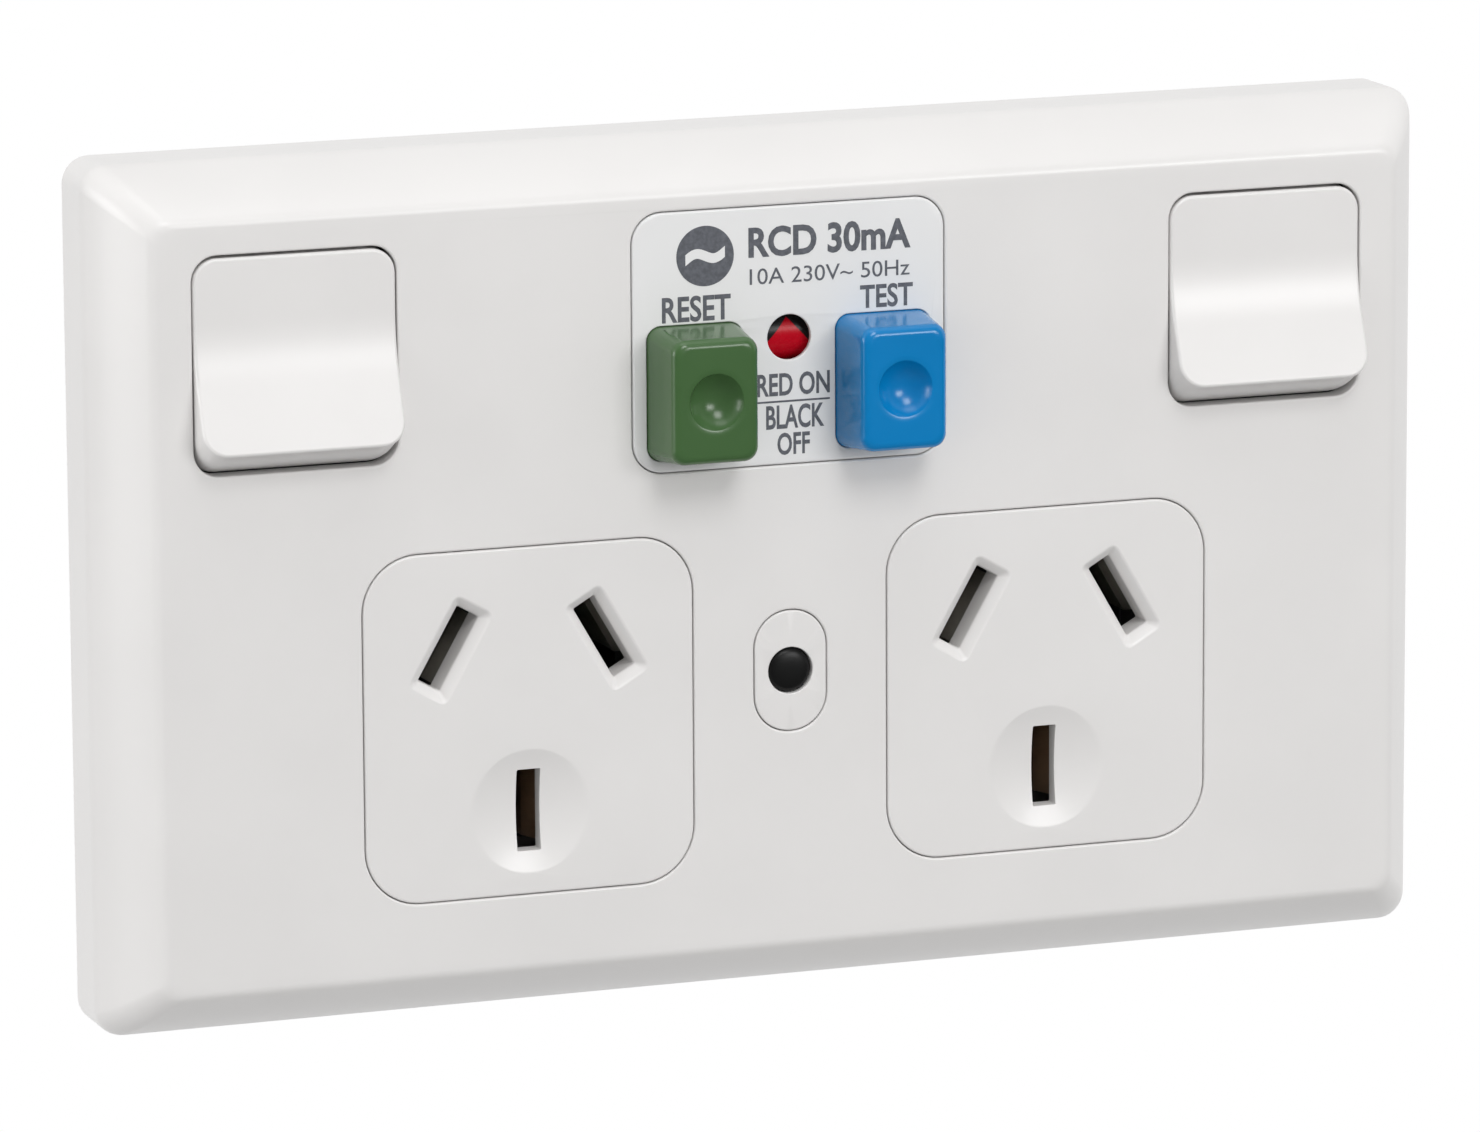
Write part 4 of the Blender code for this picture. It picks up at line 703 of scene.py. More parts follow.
@dataclass
class CoverPlate:
    """White cover plate with a bevelled rim and six apertures."""

    material: bpy.types.Material
    width: float = 119.0
    height: float = 73.5
    depth: float = 12.0
    wall: float = 2.0
    corner: float = 2.3
    face_corner: float = 1.6
    side: float = 5.5
    bevel: float = 4.2
    crown: float = 0.45
    bevel_steps: int = 10
    side_round: float = 0.9
    face_round: float = 0.55
    hole_round: float = 0.2
    pocket_floor: float = FLANGE_FRONT
    boss_wall: float = 1.1
    screw_hole: float = 1.7

    def outline(self, inset: float) -> RoundedBox:
        """Outline of the plate drawn in by an inset."""
        share = min(inset / self.bevel, 1.0)
        corner = self.corner + (self.face_corner - self.corner) * share
        return RoundedBox(self.width - 2 * inset, self.height - 2 * inset, corner, steps=10)

    def profile(self) -> list[Point]:
        """Depth in front of the wall and inset of the outer surface, from the wall to the face."""
        rise = self.depth - self.side
        length = hypot(rise, self.bevel)
        pairs = [(0.0, 0.15), (0.15, 0.0), (self.side, 0.0)]
        for step in range(1, self.bevel_steps):
            share = step / self.bevel_steps
            bulge = 4 * share * (1 - share) * self.crown
            pairs.append((self.side + rise * share + bulge * self.bevel / length,
                          self.bevel * share - bulge * rise / length))
        pairs.append((self.depth, self.bevel))
        pairs.append((self.depth, self.bevel + 2 * self.face_round))
        pairs = softened(pairs, len(pairs) - 2, self.face_round)
        return softened(pairs, 2, self.side_round * 0.6)

    def build(self, holes: Sequence[Outline], pocket: RoundedBox) -> None:
        """Make the plate.

        Args:
            holes: Outlines of the apertures that go right through.
            pocket: Outline of the pocket over the cover screw.
        """
        form = Form()
        outer = [form.ring(self.outline(inset), -depth) for depth, inset in self.profile()]
        slope = self.bevel / (self.depth - self.side)
        inner_inset = self.wall * hypot(1.0, slope) + slope * (self.depth - self.side - self.wall)
        back = FRONT + self.wall
        inner = [
            form.ring(self.outline(self.wall), 0.0),
            form.ring(self.outline(self.wall), -self.side + self.wall * slope / 2),
            form.ring(self.outline(inner_inset), back),
        ]
        form.chain(outer)
        form.chain([outer[0], *inner])
        fronts = []
        backs = []
        for hole in holes:
            front, end = form.bore(hole, self.hole_round, (hole, back))
            fronts.append(front)
            backs.append(end)
        front, pocket_end = form.bore(pocket, self.hole_round, (pocket, self.pocket_floor))
        fronts.append(front)
        screw = Disc(self.screw_hole, pocket.centre)
        boss = pocket.grown(self.boss_wall)
        passage = [form.ring(screw, self.pocket_floor), form.ring(screw, SEAT)]
        form.chain(passage)
        form.fill(pocket_end, passage[0])
        skirt = [form.ring(boss, SEAT), form.ring(boss, back)]
        form.fill(skirt[0], passage[1])
        form.chain(skirt)
        backs.append(skirt[1])
        form.fill(outer[-1], *fronts)
        form.fill(inner[-1], *backs)
        place_piece(form.build("cover_plate_skin", self.material), "outlet", Slot.WHITE, "cover_plate")


@dataclass
class Insert:
    """Flush insert that stands on the mounting frame by a rear flange."""

    material: bpy.types.Material
    outline: RoundedBox
    front_wall: float
    side_wall: float
    edge: float = 0.2
    flange: float = 1.6

    def shell(self, form: Form) -> tuple[Loop, Loop]:
        """Draw everything but the front and the inner face.

        Args:
            form: Form to draw into.

        Returns:
            The loops that border the front and the inner face.
        """
        loops = form.rounded_edge(self.outline, FRONT, self.edge, Edge.INSERT)
        wide = self.outline.grown(self.flange)
        narrow = self.outline.grown(-self.side_wall)
        loops += [
            form.ring(self.outline, FLANGE_FRONT), form.ring(wide, FLANGE_FRONT), form.ring(wide, SEAT),
            form.ring(narrow, SEAT), form.ring(narrow, FRONT + self.front_wall),
        ]
        form.chain(loops)
        return loops[0], loops[-1]


@dataclass
class SocketFace(Insert):
    """Socket face with two angled live slots and an upright earth slot in a shallow dish."""

    slot: Point = (2.1, 7.0)
    slot_corner: float = 0.12
    slot_steps: int = 3
    mouth_corner: float = 0.5
    lead: float = 0.72
    lead_depth: float = 0.8
    sleeve: Point = (0.6, 1.15)
    pin_circle: float = 7.92
    pin_rise: float = 2.6
    pin_spread: float = radians(30.0)
    earth_drop: float = 10.31
    dish_radius: float = 5.4
    dish_depth: float = 0.9
    dish_steps: int = 7
    slot_cuts: tuple[int, int] = (5, 19)

    def live_slot(self, form: Form, side: Side) -> tuple[Loop, Loop]:
        """Draw a live slot with its lead-in.

        Args:
            form: Form to draw into.
            side: Which of the two slots.

        Returns:
            The loops in the front and in the inner face.
        """
        middle = (
            self.outline.centre[0] + side.value * self.pin_circle * cos(self.pin_spread),
            self.outline.centre[1] + self.pin_rise + self.pin_circle * sin(self.pin_spread),
        )
        lean = -side.value * self.pin_spread
        throat = RoundedBox(*self.slot, self.slot_corner, middle, lean, self.slot_steps)
        mouth = replace(throat.grown(self.lead), corner=self.mouth_corner)
        wall, reach = self.sleeve
        collar = throat.grown(wall)
        inner = FRONT + self.front_wall
        end = FRONT + self.lead_depth
        loops = [form.ring(outline, y) for outline, y in (
            (mouth.grown(0.22), FRONT), (mouth.grown(0.08), FRONT + 0.04), (mouth.grown(-0.06), FRONT + 0.14),
            (throat.grown(0.14), end - 0.12), (throat.grown(0.04), end), (throat, end + 0.14),
            (throat, inner + reach), (collar, inner + reach), (collar, inner),
        )]
        form.chain(loops)
        return loops[0], loops[-1]

    def dish_level(self, radius: float) -> float:
        """Depth of the dish at a distance from its middle."""
        return FRONT + self.dish_depth * (1 - (radius / self.dish_radius) ** 2)

    def earth_slot(self, form: Form) -> tuple[Loop, Loop]:
        """Draw the dish and the earth slot in its floor.

        Args:
            form: Form to draw into.

        Returns:
            The loops in the front and in the inner face.
        """
        middle = (self.outline.centre[0], self.outline.centre[1] + self.pin_rise - self.earth_drop)
        throat = RoundedBox(*self.slot, self.slot_corner, middle, 0.0, self.slot_steps)
        rim = form.ring(Disc(self.dish_radius, middle, FINE_SIDES), FRONT)
        mouth = form.ring(throat, FRONT + self.dish_depth)
        short, long = self.slot[0] / 2, self.slot[1] / 2
        long_sides = [edge for edge in mouth if edge.calc_length() > long]
        short_sides = [edge for edge in mouth if short < edge.calc_length() < long]
        others = set(form.shape.edges) - set(mouth)
        bmesh.ops.subdivide_edges(form.shape, edges=long_sides, cuts=self.slot_cuts[1])
        bmesh.ops.subdivide_edges(form.shape, edges=short_sides, cuts=self.slot_cuts[0])
        mouth = [edge for edge in form.shape.edges if edge not in others]
        skin = form.bridge(rim, mouth)
        borders = {*rim, *mouth}
        rays = list(dict.fromkeys(edge for face in skin for edge in face.edges if edge not in borders))
        bmesh.ops.subdivide_edges(form.shape, edges=rays, cuts=self.dish_steps, use_grid_fill=True)
        for vert in form.shape.verts:
            radius = hypot(vert.co.x - middle[0], vert.co.z - middle[1])
            if radius < self.dish_radius - 0.01:
                vert.co.y = self.dish_level(radius)
        wall = bmesh.ops.extrude_edge_only(form.shape, edges=mouth)["geom"]
        back = [item for item in wall if isinstance(item, BMEdge) and item not in mouth]
        ends = {item for item in wall if isinstance(item, bmesh.types.BMVert)}
        for vert in ends:
            vert.co.y = FRONT + self.front_wall
        back = [edge for edge in back if edge.verts[0] in ends and edge.verts[1] in ends]
        return rim, back

    def build(self, side: Side) -> None:
        """Make the socket face of one side."""
        form = Form()
        front, inner = self.shell(form)
        openings = [self.live_slot(form, Side.LEFT), self.live_slot(form, Side.RIGHT), self.earth_slot(form)]
        form.fill(front, *[opening[0] for opening in openings])
        form.fill(inner, *[opening[1] for opening in openings])
        name = f"{side.label}_socket_face"
        place_piece(form.build(f"{name}_skin", self.material), "outlet", Slot.WHITE, name)


@dataclass
class Rocker:
    """Hollow-fronted rocker switch on a hub, tilted to its rest end."""

    material: bpy.types.Material
    opening: RoundedBox
    clearance: float = 0.1
    travel: float = radians(21.0)
    pivot_depth: float = 3.7
    lip_gap: float = 0.2
    lip_lean: float = 0.1
    skirt: float = 1.0
    dip: float = 2.8
    plate_wall: float = 2.0
    edge: float = 0.32
    end_steps: int = 5
    dip_steps: int = 8
    hub: tuple[float, float, float] = (6.0, 5.2, 6.2)
    hub_corner: float = 0.8
    hub_bevel: float = 0.4

    def profile(self) -> list[Point]:
        """Rocker outline (y, z) about its pivot in mid travel, without its rear face."""
        half = self.travel / 2
        long = self.opening.height / 2
        reach = long - self.lip_gap
        lip_angle = atan2(self.pivot_depth, reach) + half
        lip = hypot(self.pivot_depth, reach)
        radius = hypot(long - self.clearance, self.pivot_depth - self.plate_wall)
        last = -self.skirt / radius
        first = lip_angle - self.lip_lean
        turns = [last + (first - last) * step / self.end_steps for step in range(self.end_steps + 1)]
        upper = [(radius * sin(turn), radius * cos(turn)) for turn in turns]
        upper.append((lip * sin(lip_angle), lip * cos(lip_angle)))
        slope = tan(half)
        rest = self.pivot_depth / cos(half)
        for step in range(self.dip_steps):
            share = 1 - step / self.dip_steps
            upper.append((rest + slope * self.dip * (1 + share * share) / 2, self.dip * share))
        middle = [(rest + slope * self.dip / 2, 0.0)]
        lower = [(out, -rise) for out, rise in reversed(upper)]
        return [(-out, rise) for out, rise in upper + middle + lower]

    def build(self, side: Side) -> None:
        """Make the rocker of one side."""
        form = Form()
        shape = form.shape
        half = self.opening.width / 2 - self.clearance
        face = shape.faces.new([shape.verts.new((-half, y, z)) for y, z in self.profile()])
        drawn = bmesh.ops.extrude_face_region(shape, geom=[face])["geom"]
        ends = [item for item in drawn if isinstance(item, bmesh.types.BMVert)]
        bmesh.ops.translate(shape, vec=(2 * half, 0.0, 0.0), verts=ends)
        bmesh.ops.recalc_face_normals(shape, faces=shape.faces)
        corners = [edge for edge in shape.edges if self.is_corner(edge)]
        form.round_off(corners, self.opening.corner - self.clearance, 8)
        shape.normal_update()
        rim = [edge for edge in shape.edges if self.is_rim(edge)]
        form.round_off(rim, self.edge, 4)
        self.add_hub(form)
        turn = Matrix.Rotation(-self.travel / 2, 3, "X")
        bmesh.ops.rotate(shape, cent=(0.0, 0.0, 0.0), matrix=turn, verts=shape.verts)
        x, z = self.opening.centre
        spot = (x, FRONT + self.pivot_depth, z)
        bmesh.ops.translate(shape, vec=spot, verts=shape.verts)
        name = f"{side.label}_rocker"
        place_piece(form.build(f"{name}_skin", self.material), name, Slot.WHITE, name)

    @staticmethod
    def is_corner(edge: BMEdge) -> bool:
        """Whether an edge stands at a plan corner, between an end and a side."""
        sides = [abs(face.normal.x) > 0.9 for face in edge.link_faces]
        ends = [abs(face.normal.z) > 0.7 for face in edge.link_faces]
        return any(sides) and any(ends)

    @staticmethod
    def is_rim(edge: BMEdge) -> bool:
        """Whether an edge borders the touched surface."""
        fronts = [face.normal.y < -0.86 for face in edge.link_faces]
        return any(fronts) and not all(fronts)

    def add_hub(self, form: Form) -> None:
        """Draw the hub that runs back to the plunger."""
        width, height, tail = self.hub
        block = RoundedBox(width, height, self.hub_corner, steps=3)
        tip = block.grown(-self.hub_bevel)
        levels = ((block, self.skirt), (block, tail - self.hub_bevel), (tip, tail))
        form.closed([form.ring(outline, y) for outline, y in levels])


@dataclass
class TripPanel(Insert):
    """Trip-module panel with two button holes and the flag window."""

    holes: Sequence[Outline] = ()
    hole_round: float = 0.12
    window: Disc = Disc(1.93, (0.0, 19.7), FINE_SIDES)
    window_lip: float = 0.4
    window_flare: float = 0.8

    def build(self) -> None:
        """Make the panel."""
        form = Form()
        front, inner = self.shell(form)
        back = FRONT + self.front_wall
        openings = [form.bore(hole, self.hole_round, (hole, back)) for hole in self.holes]
        flared = self.window.grown(self.window_flare)
        lip = (self.window, FRONT + self.window_lip)
        openings.append(form.bore(self.window, self.hole_round, lip, (flared, back)))
        form.fill(front, *[opening[0] for opening in openings])
        form.fill(inner, *[opening[1] for opening in openings])
        place_piece(form.build("rcd_panel_skin", self.material), "outlet", Slot.PANEL, "rcd_panel")


@dataclass
class PushButton:
    """Push button with a round dimple, a collar behind the panel and a stem."""

    material: bpy.types.Material
    name: str
    slot: Slot
    centre: Point
    width: float = 7.65
    height: float = 10.55
    corner: float = 1.2
    draft: float = 0.4
    edge: float = 0.75
    edge_steps: int = 5
    edge_pinch: float = 0.35
    proud: float = 5.3
    dimple: float = 2.4
    dimple_depth: float = 1.4
    dimple_lip: float = 0.04
    dimple_rims: Sequence[float] = (0.5, 0.12)
    dimple_steps: int = 18
    collar: Point = (-10.2, -9.0)
    collar_rim: float = 0.1
    stem: float = 3.6
    stem_corner: float = 0.6
    stem_z: float = 15.3
    stem_end: float = 1.5

    def build(self) -> None:
        """Make the button."""
        form = Form()
        crown = FRONT - self.proud
        face = RoundedBox(self.width, self.height, self.corner, self.centre, steps=8)
        base = replace(face.grown(self.draft), corner=self.corner)
        loops = []
        for step in range(self.edge_steps + 1):
            angle = step / self.edge_steps * pi / 2
            inset = 1 - sin(angle)
            ring = replace(face.grown(-self.edge * inset), corner=self.corner * (1 - self.edge_pinch * inset))
            loops.append(form.ring(ring, crown + self.edge * (1 - cos(angle))))
        stem = RoundedBox(self.stem, self.stem, self.stem_corner, (self.centre[0], self.stem_z))
        wide = base.grown(self.collar_rim)
        front, back = self.collar
        loops += [form.ring(outline, y) for outline, y in (
            (base, FRONT), (base, front), (wide, front), (wide, back), (stem, back), (stem, self.stem_end),
        )]
        form.chain(loops)
        form.fill(loops[-1])
        form.fill(loops[0], self.draw_dimple(form, crown))
        place_piece(form.build(f"{self.name}_button_skin", self.material), self.name, self.slot,
                    f"{self.name}_button")

    def draw_dimple(self, form: Form, crown: float) -> Loop:
        """Draw the round dimple.

        Args:
            form: Form to draw into.
            crown: Depth of the button's face.

        Returns:
            The loop in the face.
        """
        edge = Disc(self.dimple, self.centre, FINE_SIDES)
        loops = [form.ring(edge.grown(reach), crown) for reach in self.dimple_rims]
        ball = (self.dimple ** 2 + self.dimple_depth ** 2) / (2 * self.dimple_depth)
        rim = asin(self.dimple / ball)
        for step in range(self.dimple_steps):
            angle = rim * (1 - step / self.dimple_steps)
            level = crown + self.dimple_lip + ball * (cos(angle) - cos(rim))
            loops.append(form.ring(replace(edge, radius=ball * sin(angle)), level))
        form.chain(loops)
        form.fill(loops[-1])
        return loops[0]


@dataclass
class ReturnSpring:
    """Wound return spring behind a push button."""

    material: bpy.types.Material
    name: str
    centre: Point
    radius: float = 2.9
    wire: float = 0.5
    turns: float = 4.0
    span: Point = (-8.7, SEAT)
    steps: int = 32
    wire_sides: int = 10
    pressed: float = 0.6

    def build(self) -> None:
        """Make the spring."""
        form = Form()
        shape = form.shape
        start = self.span[0] + self.wire / 2
        rise = self.span[1] - self.wire / 2 - start
        count = round(self.turns * self.steps)
        spot = Matrix.Translation((self.radius, start, 0.0))
        made = bmesh.ops.create_circle(shape, cap_ends=False, segments=self.wire_sides, radius=self.wire / 2,
                                       matrix=spot)
        section = [*made["verts"], *dict.fromkeys(edge for vert in made["verts"] for edge in vert.link_edges)]
        bmesh.ops.spin(shape, geom=section, cent=(0.0, 0.0, 0.0), axis=(0.0, 1.0, 0.0),
                       dvec=(0.0, rise / count, 0.0), angle=2 * pi * self.turns, steps=count,
                       use_merge=False, use_duplicate=False)
        bmesh.ops.holes_fill(shape, edges=[edge for edge in shape.edges if edge.is_boundary], sides=0)
        bmesh.ops.translate(shape, vec=(self.centre[0], 0.0, self.centre[1]), verts=shape.verts)
        piece = form.build(f"{self.name}_spring_skin", self.material)
        place_piece(piece, "outlet", Slot.STEEL, f"{self.name}_spring")
        anchor = (self.centre[0] * MM, self.span[1] * MM, self.centre[1] * MM)
        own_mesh(piece)


@dataclass
class ScrewCap:
    """Obround cap over the cover screw, with a black plug in its middle."""

    white: bpy.types.Material
    black: bpy.types.Material
    outline: RoundedBox
    depth: float = 4.4
    wall: float = 1.1
    edge: float = 0.16
    plug: float = 1.9
    plug_gap: float = 0.1
    plug_length: float = 2.6
    dome: Sequence[Point] = ((0.1, 0.02), (0.35, 0.03), (0.6, 0.08), (0.8, 0.16), (0.93, 0.28), (1.0, 0.5))

    def build(self) -> None:
        """Make the cap and its plug."""
        form = Form()
        plug = Disc(self.plug, self.outline.centre)
        hole = plug.grown(self.plug_gap)
        inner = self.outline.grown(-self.wall)
        loops = form.rounded_edge(self.outline, FRONT, self.edge, Edge.INSERT)
        loops += [form.ring(self.outline, FRONT + self.depth), form.ring(inner, FRONT + self.depth),
                  form.ring(inner, FRONT + self.wall)]
        form.chain(loops)
        bore = form.bore(hole, self.plug_gap, (hole, FRONT + self.wall))
        form.fill(loops[0], bore[0])
        form.fill(loops[-1], bore[1])
        place_piece(form.build("screw_cap_skin", self.white), "outlet", Slot.WHITE, "screw_cap")
        form = Form()
        levels = (*self.dome, (1.0, self.plug_length))
        form.closed([form.ring(replace(plug, radius=self.plug * share), FRONT + y) for share, y in levels])
        place_piece(form.build("screw_plug_skin", self.black), "outlet", Slot.BLACK, "screw_plug")


@dataclass
class FlagDrum:
    """Indicator drum behind the panel's window, on its own short shaft."""

    material: bpy.types.Material
    axis: Point
    radius: float = 2.6
    length: float = 4.4
    shaft: float = 0.7
    shaft_length: float = 7.4
    edge: float = 0.15

    def build(self) -> None:
        """Make the drum."""
        form = Form()
        shape = form.shape
        spot = Matrix.Translation((0.0, self.axis[0], self.axis[1])) @ Matrix.Rotation(pi / 2, 4, "Y")
        for radius, length in ((self.radius, self.length), (self.shaft, self.shaft_length)):
            bmesh.ops.create_cone(shape, cap_ends=True, segments=FINE_SIDES, radius1=radius, radius2=radius,
                                  depth=length, matrix=spot)
        rims = [edge for edge in shape.edges if any(len(face.verts) > 4 for face in edge.link_faces)]
        form.round_off(rims, self.edge, 2)
        place_piece(form.build("indicator_flag_skin", self.material), "flag", Slot.RED, "indicator_flag")


@dataclass
class HousingScrew:
    """Pan-head screw with a cross recess, driven in from behind."""

    material: bpy.types.Material
    number: int
    centre: Point
    seat: float = 30.3
    head: float = 2.7
    head_height: float = 1.9
    shaft: float = 1.5
    tip: float = -1.9
    crown: Sequence[Point] = ((1.0, 0.3), (0.985, 0.55), (0.93, 0.78), (0.85, 0.92), (0.74, 1.0))
    recess: Cross = Cross(1.45, 0.62)
    recess_depth: float = 1.1
    sides: int = 40

    def build(self) -> None:
        """Make the screw."""
        form = Form()
        rings = [(self.shaft * 0.6, self.tip), (self.shaft, self.tip + 0.6), (self.shaft, self.seat),
                 (self.head * 0.98, self.seat)]
        rings += [(self.head * share, self.seat + self.head_height * rise) for share, rise in self.crown]
        loops = [form.ring(Disc(radius, self.centre, self.sides), y) for radius, y in rings]
        form.chain(loops)
        form.fill(loops[0])
        top = self.seat + self.head_height
        mouth = replace(self.recess, centre=self.centre)
        floor = replace(mouth, reach=self.recess.reach * 0.55, width=self.recess.width * 0.6)
        wall = [form.ring(mouth, top), form.ring(floor, top - self.recess_depth)]
        form.chain(wall)
        form.fill(loops[-1], wall[0])
        form.fill(wall[1])
        name = f"housing_screw_{self.number}"
        place_piece(form.build(f"{name}_skin", self.material), "outlet", Slot.STEEL, name)


class Lettering:
    """Words and signs on one face, as one thin piece."""

    def __init__(self, depth: float = 0.02, facing: Facing = Facing.ROOM) -> None:
        """Start with a bare face, for marks that stand this many millimetres proud."""
        self.form = Form()
        self.depth = depth
        self.plane, self.turn = facing.value

    def word(self, text: str, centre: Point, size: Point, weight: float = 0.0) -> None:
        """Print a word.

        Args:
            text: What it says.
            centre: Middle of the word.
            size: Its width and height.
            weight: How much bolder its strokes are, as a share of the letter size.
        """
        curve = bpy.data.curves.new("word", "FONT")
        curve.body = text
        curve.offset = weight
        curve.extrude = 0.5
        curve.resolution_u = 4
        draft = bpy.data.objects.new("word", curve)
        bpy.context.scene.collection.objects.link(draft)
        mesh = bpy.data.meshes.new_from_object(draft.evaluated_get(bpy.context.evaluated_depsgraph_get()))
        bpy.data.objects.remove(draft)
        spots = [vert.co for vert in mesh.vertices]
        low = Vector([min(spot[axis] for spot in spots) for axis in range(2)])
        high = Vector([max(spot[axis] for spot in spots) for axis in range(2)])
        middle = (low + high) / 2
        fit = Matrix.Diagonal((size[0] / (high - low).x, size[1] / (high - low).y, self.depth * 2, 1.0))
        mesh.transform(
            Matrix.Translation((centre[0], self.plane, centre[1]))
            @ Matrix.Rotation(self.turn, 4, "Z")
            @ Matrix.Rotation(pi / 2, 4, "X")
            @ fit
            @ Matrix.Translation((-middle.x, -middle.y, 0.0))
        )
        self.form.shape.from_mesh(mesh)
        bpy.data.meshes.remove(mesh)

    def patch(self, outline: Outline) -> None:
        """Mark a full outline, such as a line or a disc."""
        self.form.closed([self.form.ring(outline, self.plane + step * self.depth) for step in (-1, 1)])

    def build(self, name: str, material: bpy.types.Material, body: str, slot: Slot) -> None:
        """Finish the print as a piece."""
        place_piece(self.form.build(name, material), body, slot)


@dataclass(frozen=True)
class SoftBox:
    """Lamp that faces the outlet: where it hangs and its size in metres, and its power in watts."""

    name: str
    spot: tuple[float, float, float]
    size: Point
    power: float

    def build(self) -> None:
        """Hang the lamp."""
        data = bpy.data.lights.new(self.name, "AREA")
        data.shape = "RECTANGLE"
        data.size, data.size_y = self.size
        data.energy = self.power
        lamp = bpy.data.objects.new(self.name, data)
        lamp.location = self.spot
        lamp.rotation_euler = Vector(self.spot).to_track_quat("Z", "Y").to_euler()
        bpy.context.scene.collection.objects.link(lamp)
        LOG.info("%s: %.2f W", self.name, self.power)


@dataclass(frozen=True)
class Studio:
    """Camera, floor, world and lamps, in metres and radians."""

    turn: float = -0.351767
    rise: float = 0.197834
    roll: float = -0.005525
    distance: float = 0.785472
    lens: float = 227.705
    target: tuple[float, float, float] = (-0.0045, -0.012, 0.0005)
    floor_drop: float = 0.4
    floor_size: float = 8.0
    floor_tint: Colour = (0.66, 0.66, 0.66)
    room_floor: float = 0.75
    sky: float = 0.54
    # Brightness of the camera's side to mirrors: a painted dark reflection, while the light from there stays at
    # the sky's level
    room: float = 0.05
    room_edge: Point = (0.1, 0.6)
    room_floor_edge: Point = (0.0, 0.1)
    lamps: tuple[SoftBox, ...] = (
        SoftBox("key_box", (0.02, -0.78, 0.74), (0.4, 0.4), 3.65),
        SoftBox("left_box", (-0.9, -0.02, 0.12), (0.5, 0.5), 3.3),
        SoftBox("top_box", (0.0, -0.25, 1.0), (0.6, 0.4), 1.25),
        SoftBox("front_box", (0.5, -1.1, 0.32), (0.5, 0.3), 4.1),
    )

    def camera(self) -> None:
        """Set up the camera at the photograph's angle."""
        back = Vector((sin(self.turn) * cos(self.rise), -cos(self.turn) * cos(self.rise), sin(self.rise)))
        right = Vector((cos(self.turn), sin(self.turn), 0.0))
        up = back.cross(right)
        across = right * cos(self.roll) + up * sin(self.roll)
        above = up * cos(self.roll) - right * sin(self.roll)
        data = bpy.data.cameras.new("camera")
        data.lens = self.lens
        data.sensor_width = 36.0
        data.sensor_fit = "HORIZONTAL"
        data.clip_start = 0.01
        view = bpy.data.objects.new("camera", data)
        matrix = Matrix((across, above, back)).transposed().to_4x4()
        matrix.translation = Vector(self.target) + back * self.distance
        view.matrix_world = matrix
        bpy.context.scene.collection.objects.link(view)
        bpy.context.scene.camera = view

    def backdrop_share(self, graph: ShaderGraph, room: Term) -> Term:
        """How far a ray sees the plain white backdrop.

        Args:
            graph: Node tree of the floor or the world.
            room: 1 on the camera's side, which mirrors see dim as a painted dark reflection, and 0 elsewhere.

        Returns:
            1 for rays from the camera, clear plastic or a mirror that faces the backdrop, 0 for the rest.
        """
        direct = graph.ray("Is Camera Ray").most(graph.ray("Is Transmission Ray"))
        return direct.most(graph.ray("Is Glossy Ray") * (1.0 - room))

    def world(self) -> None:
        """White backdrop, even sky for soft light, and a painted dark reflection on the camera's side that only
        mirrors see.
        """
        world = bpy.data.worlds.new("studio")
        world.use_nodes = True
        bpy.context.scene.world = world
        graph = ShaderGraph(world.node_tree)
        heading = graph.node("ShaderNodeTexCoord").outputs["Generated"]
        depth = Term(graph, graph.node("ShaderNodeSeparateXYZ", None, {0: heading}).outputs[1])
        white = self.backdrop_share(graph, (0.0 - depth).rise(*self.room_edge))
        # painted dark reflection: glossy rays see the world at the room level, all other rays at the sky level
        dim = graph.ray("Is Glossy Ray") * (self.room - self.sky) + self.sky
        inputs = {"Strength": white * (1.0 - dim) + dim, "Color": (1, 1, 1, 1)}
        graph.output(graph.node("ShaderNodeBackground", None, inputs), "ShaderNodeOutputWorld")

    def floor(self) -> None:
        """Wide floor, white to the camera; on the camera's side dimmer, and nearly dark to mirrors."""
        material, graph = new_material("pale_floor")
        room = (0.0 - graph.axes()[1]).rise(*self.room_floor_edge)
        near, dark = shade(self.floor_tint, self.room_floor), shade(self.floor_tint, self.room)
        # painted dark reflection: mirrors see the camera's side of the floor nearly black, while it lights the
        # outlet at its near tint
        tint = graph.blend(room, self.floor_tint, graph.blend(graph.ray("Is Glossy Ray"), near, dark))
        paint = graph.node("ShaderNodeBsdfDiffuse", None, {"Color": tint})
        white = graph.node("ShaderNodeEmission", None, {"Color": (1, 1, 1, 1), "Strength": 1.0})
        graph.output(graph.node("ShaderNodeMixShader", None, {
            0: self.backdrop_share(graph, room), 1: paint.outputs[0], 2: white.outputs[0],
        }))
        shape = bmesh.new()
        bmesh.ops.create_grid(shape, x_segments=2, y_segments=2, size=self.floor_size / 2,
                              matrix=Matrix.Translation((0.0, 0.0, -self.floor_drop)))
        mesh = bpy.data.meshes.new("floor")
        shape.to_mesh(mesh)
        shape.free()
        mesh.materials.append(material)
        floor = bpy.data.objects.new("floor", mesh)
        bpy.context.scene.collection.objects.link(floor)

    def build(self) -> None:
        """Set up the whole studio."""
        bpy.context.scene.view_settings.view_transform = "Standard"
        self.camera()
        self.world()
        self.floor()
        for lamp in self.lamps:
            lamp.build()


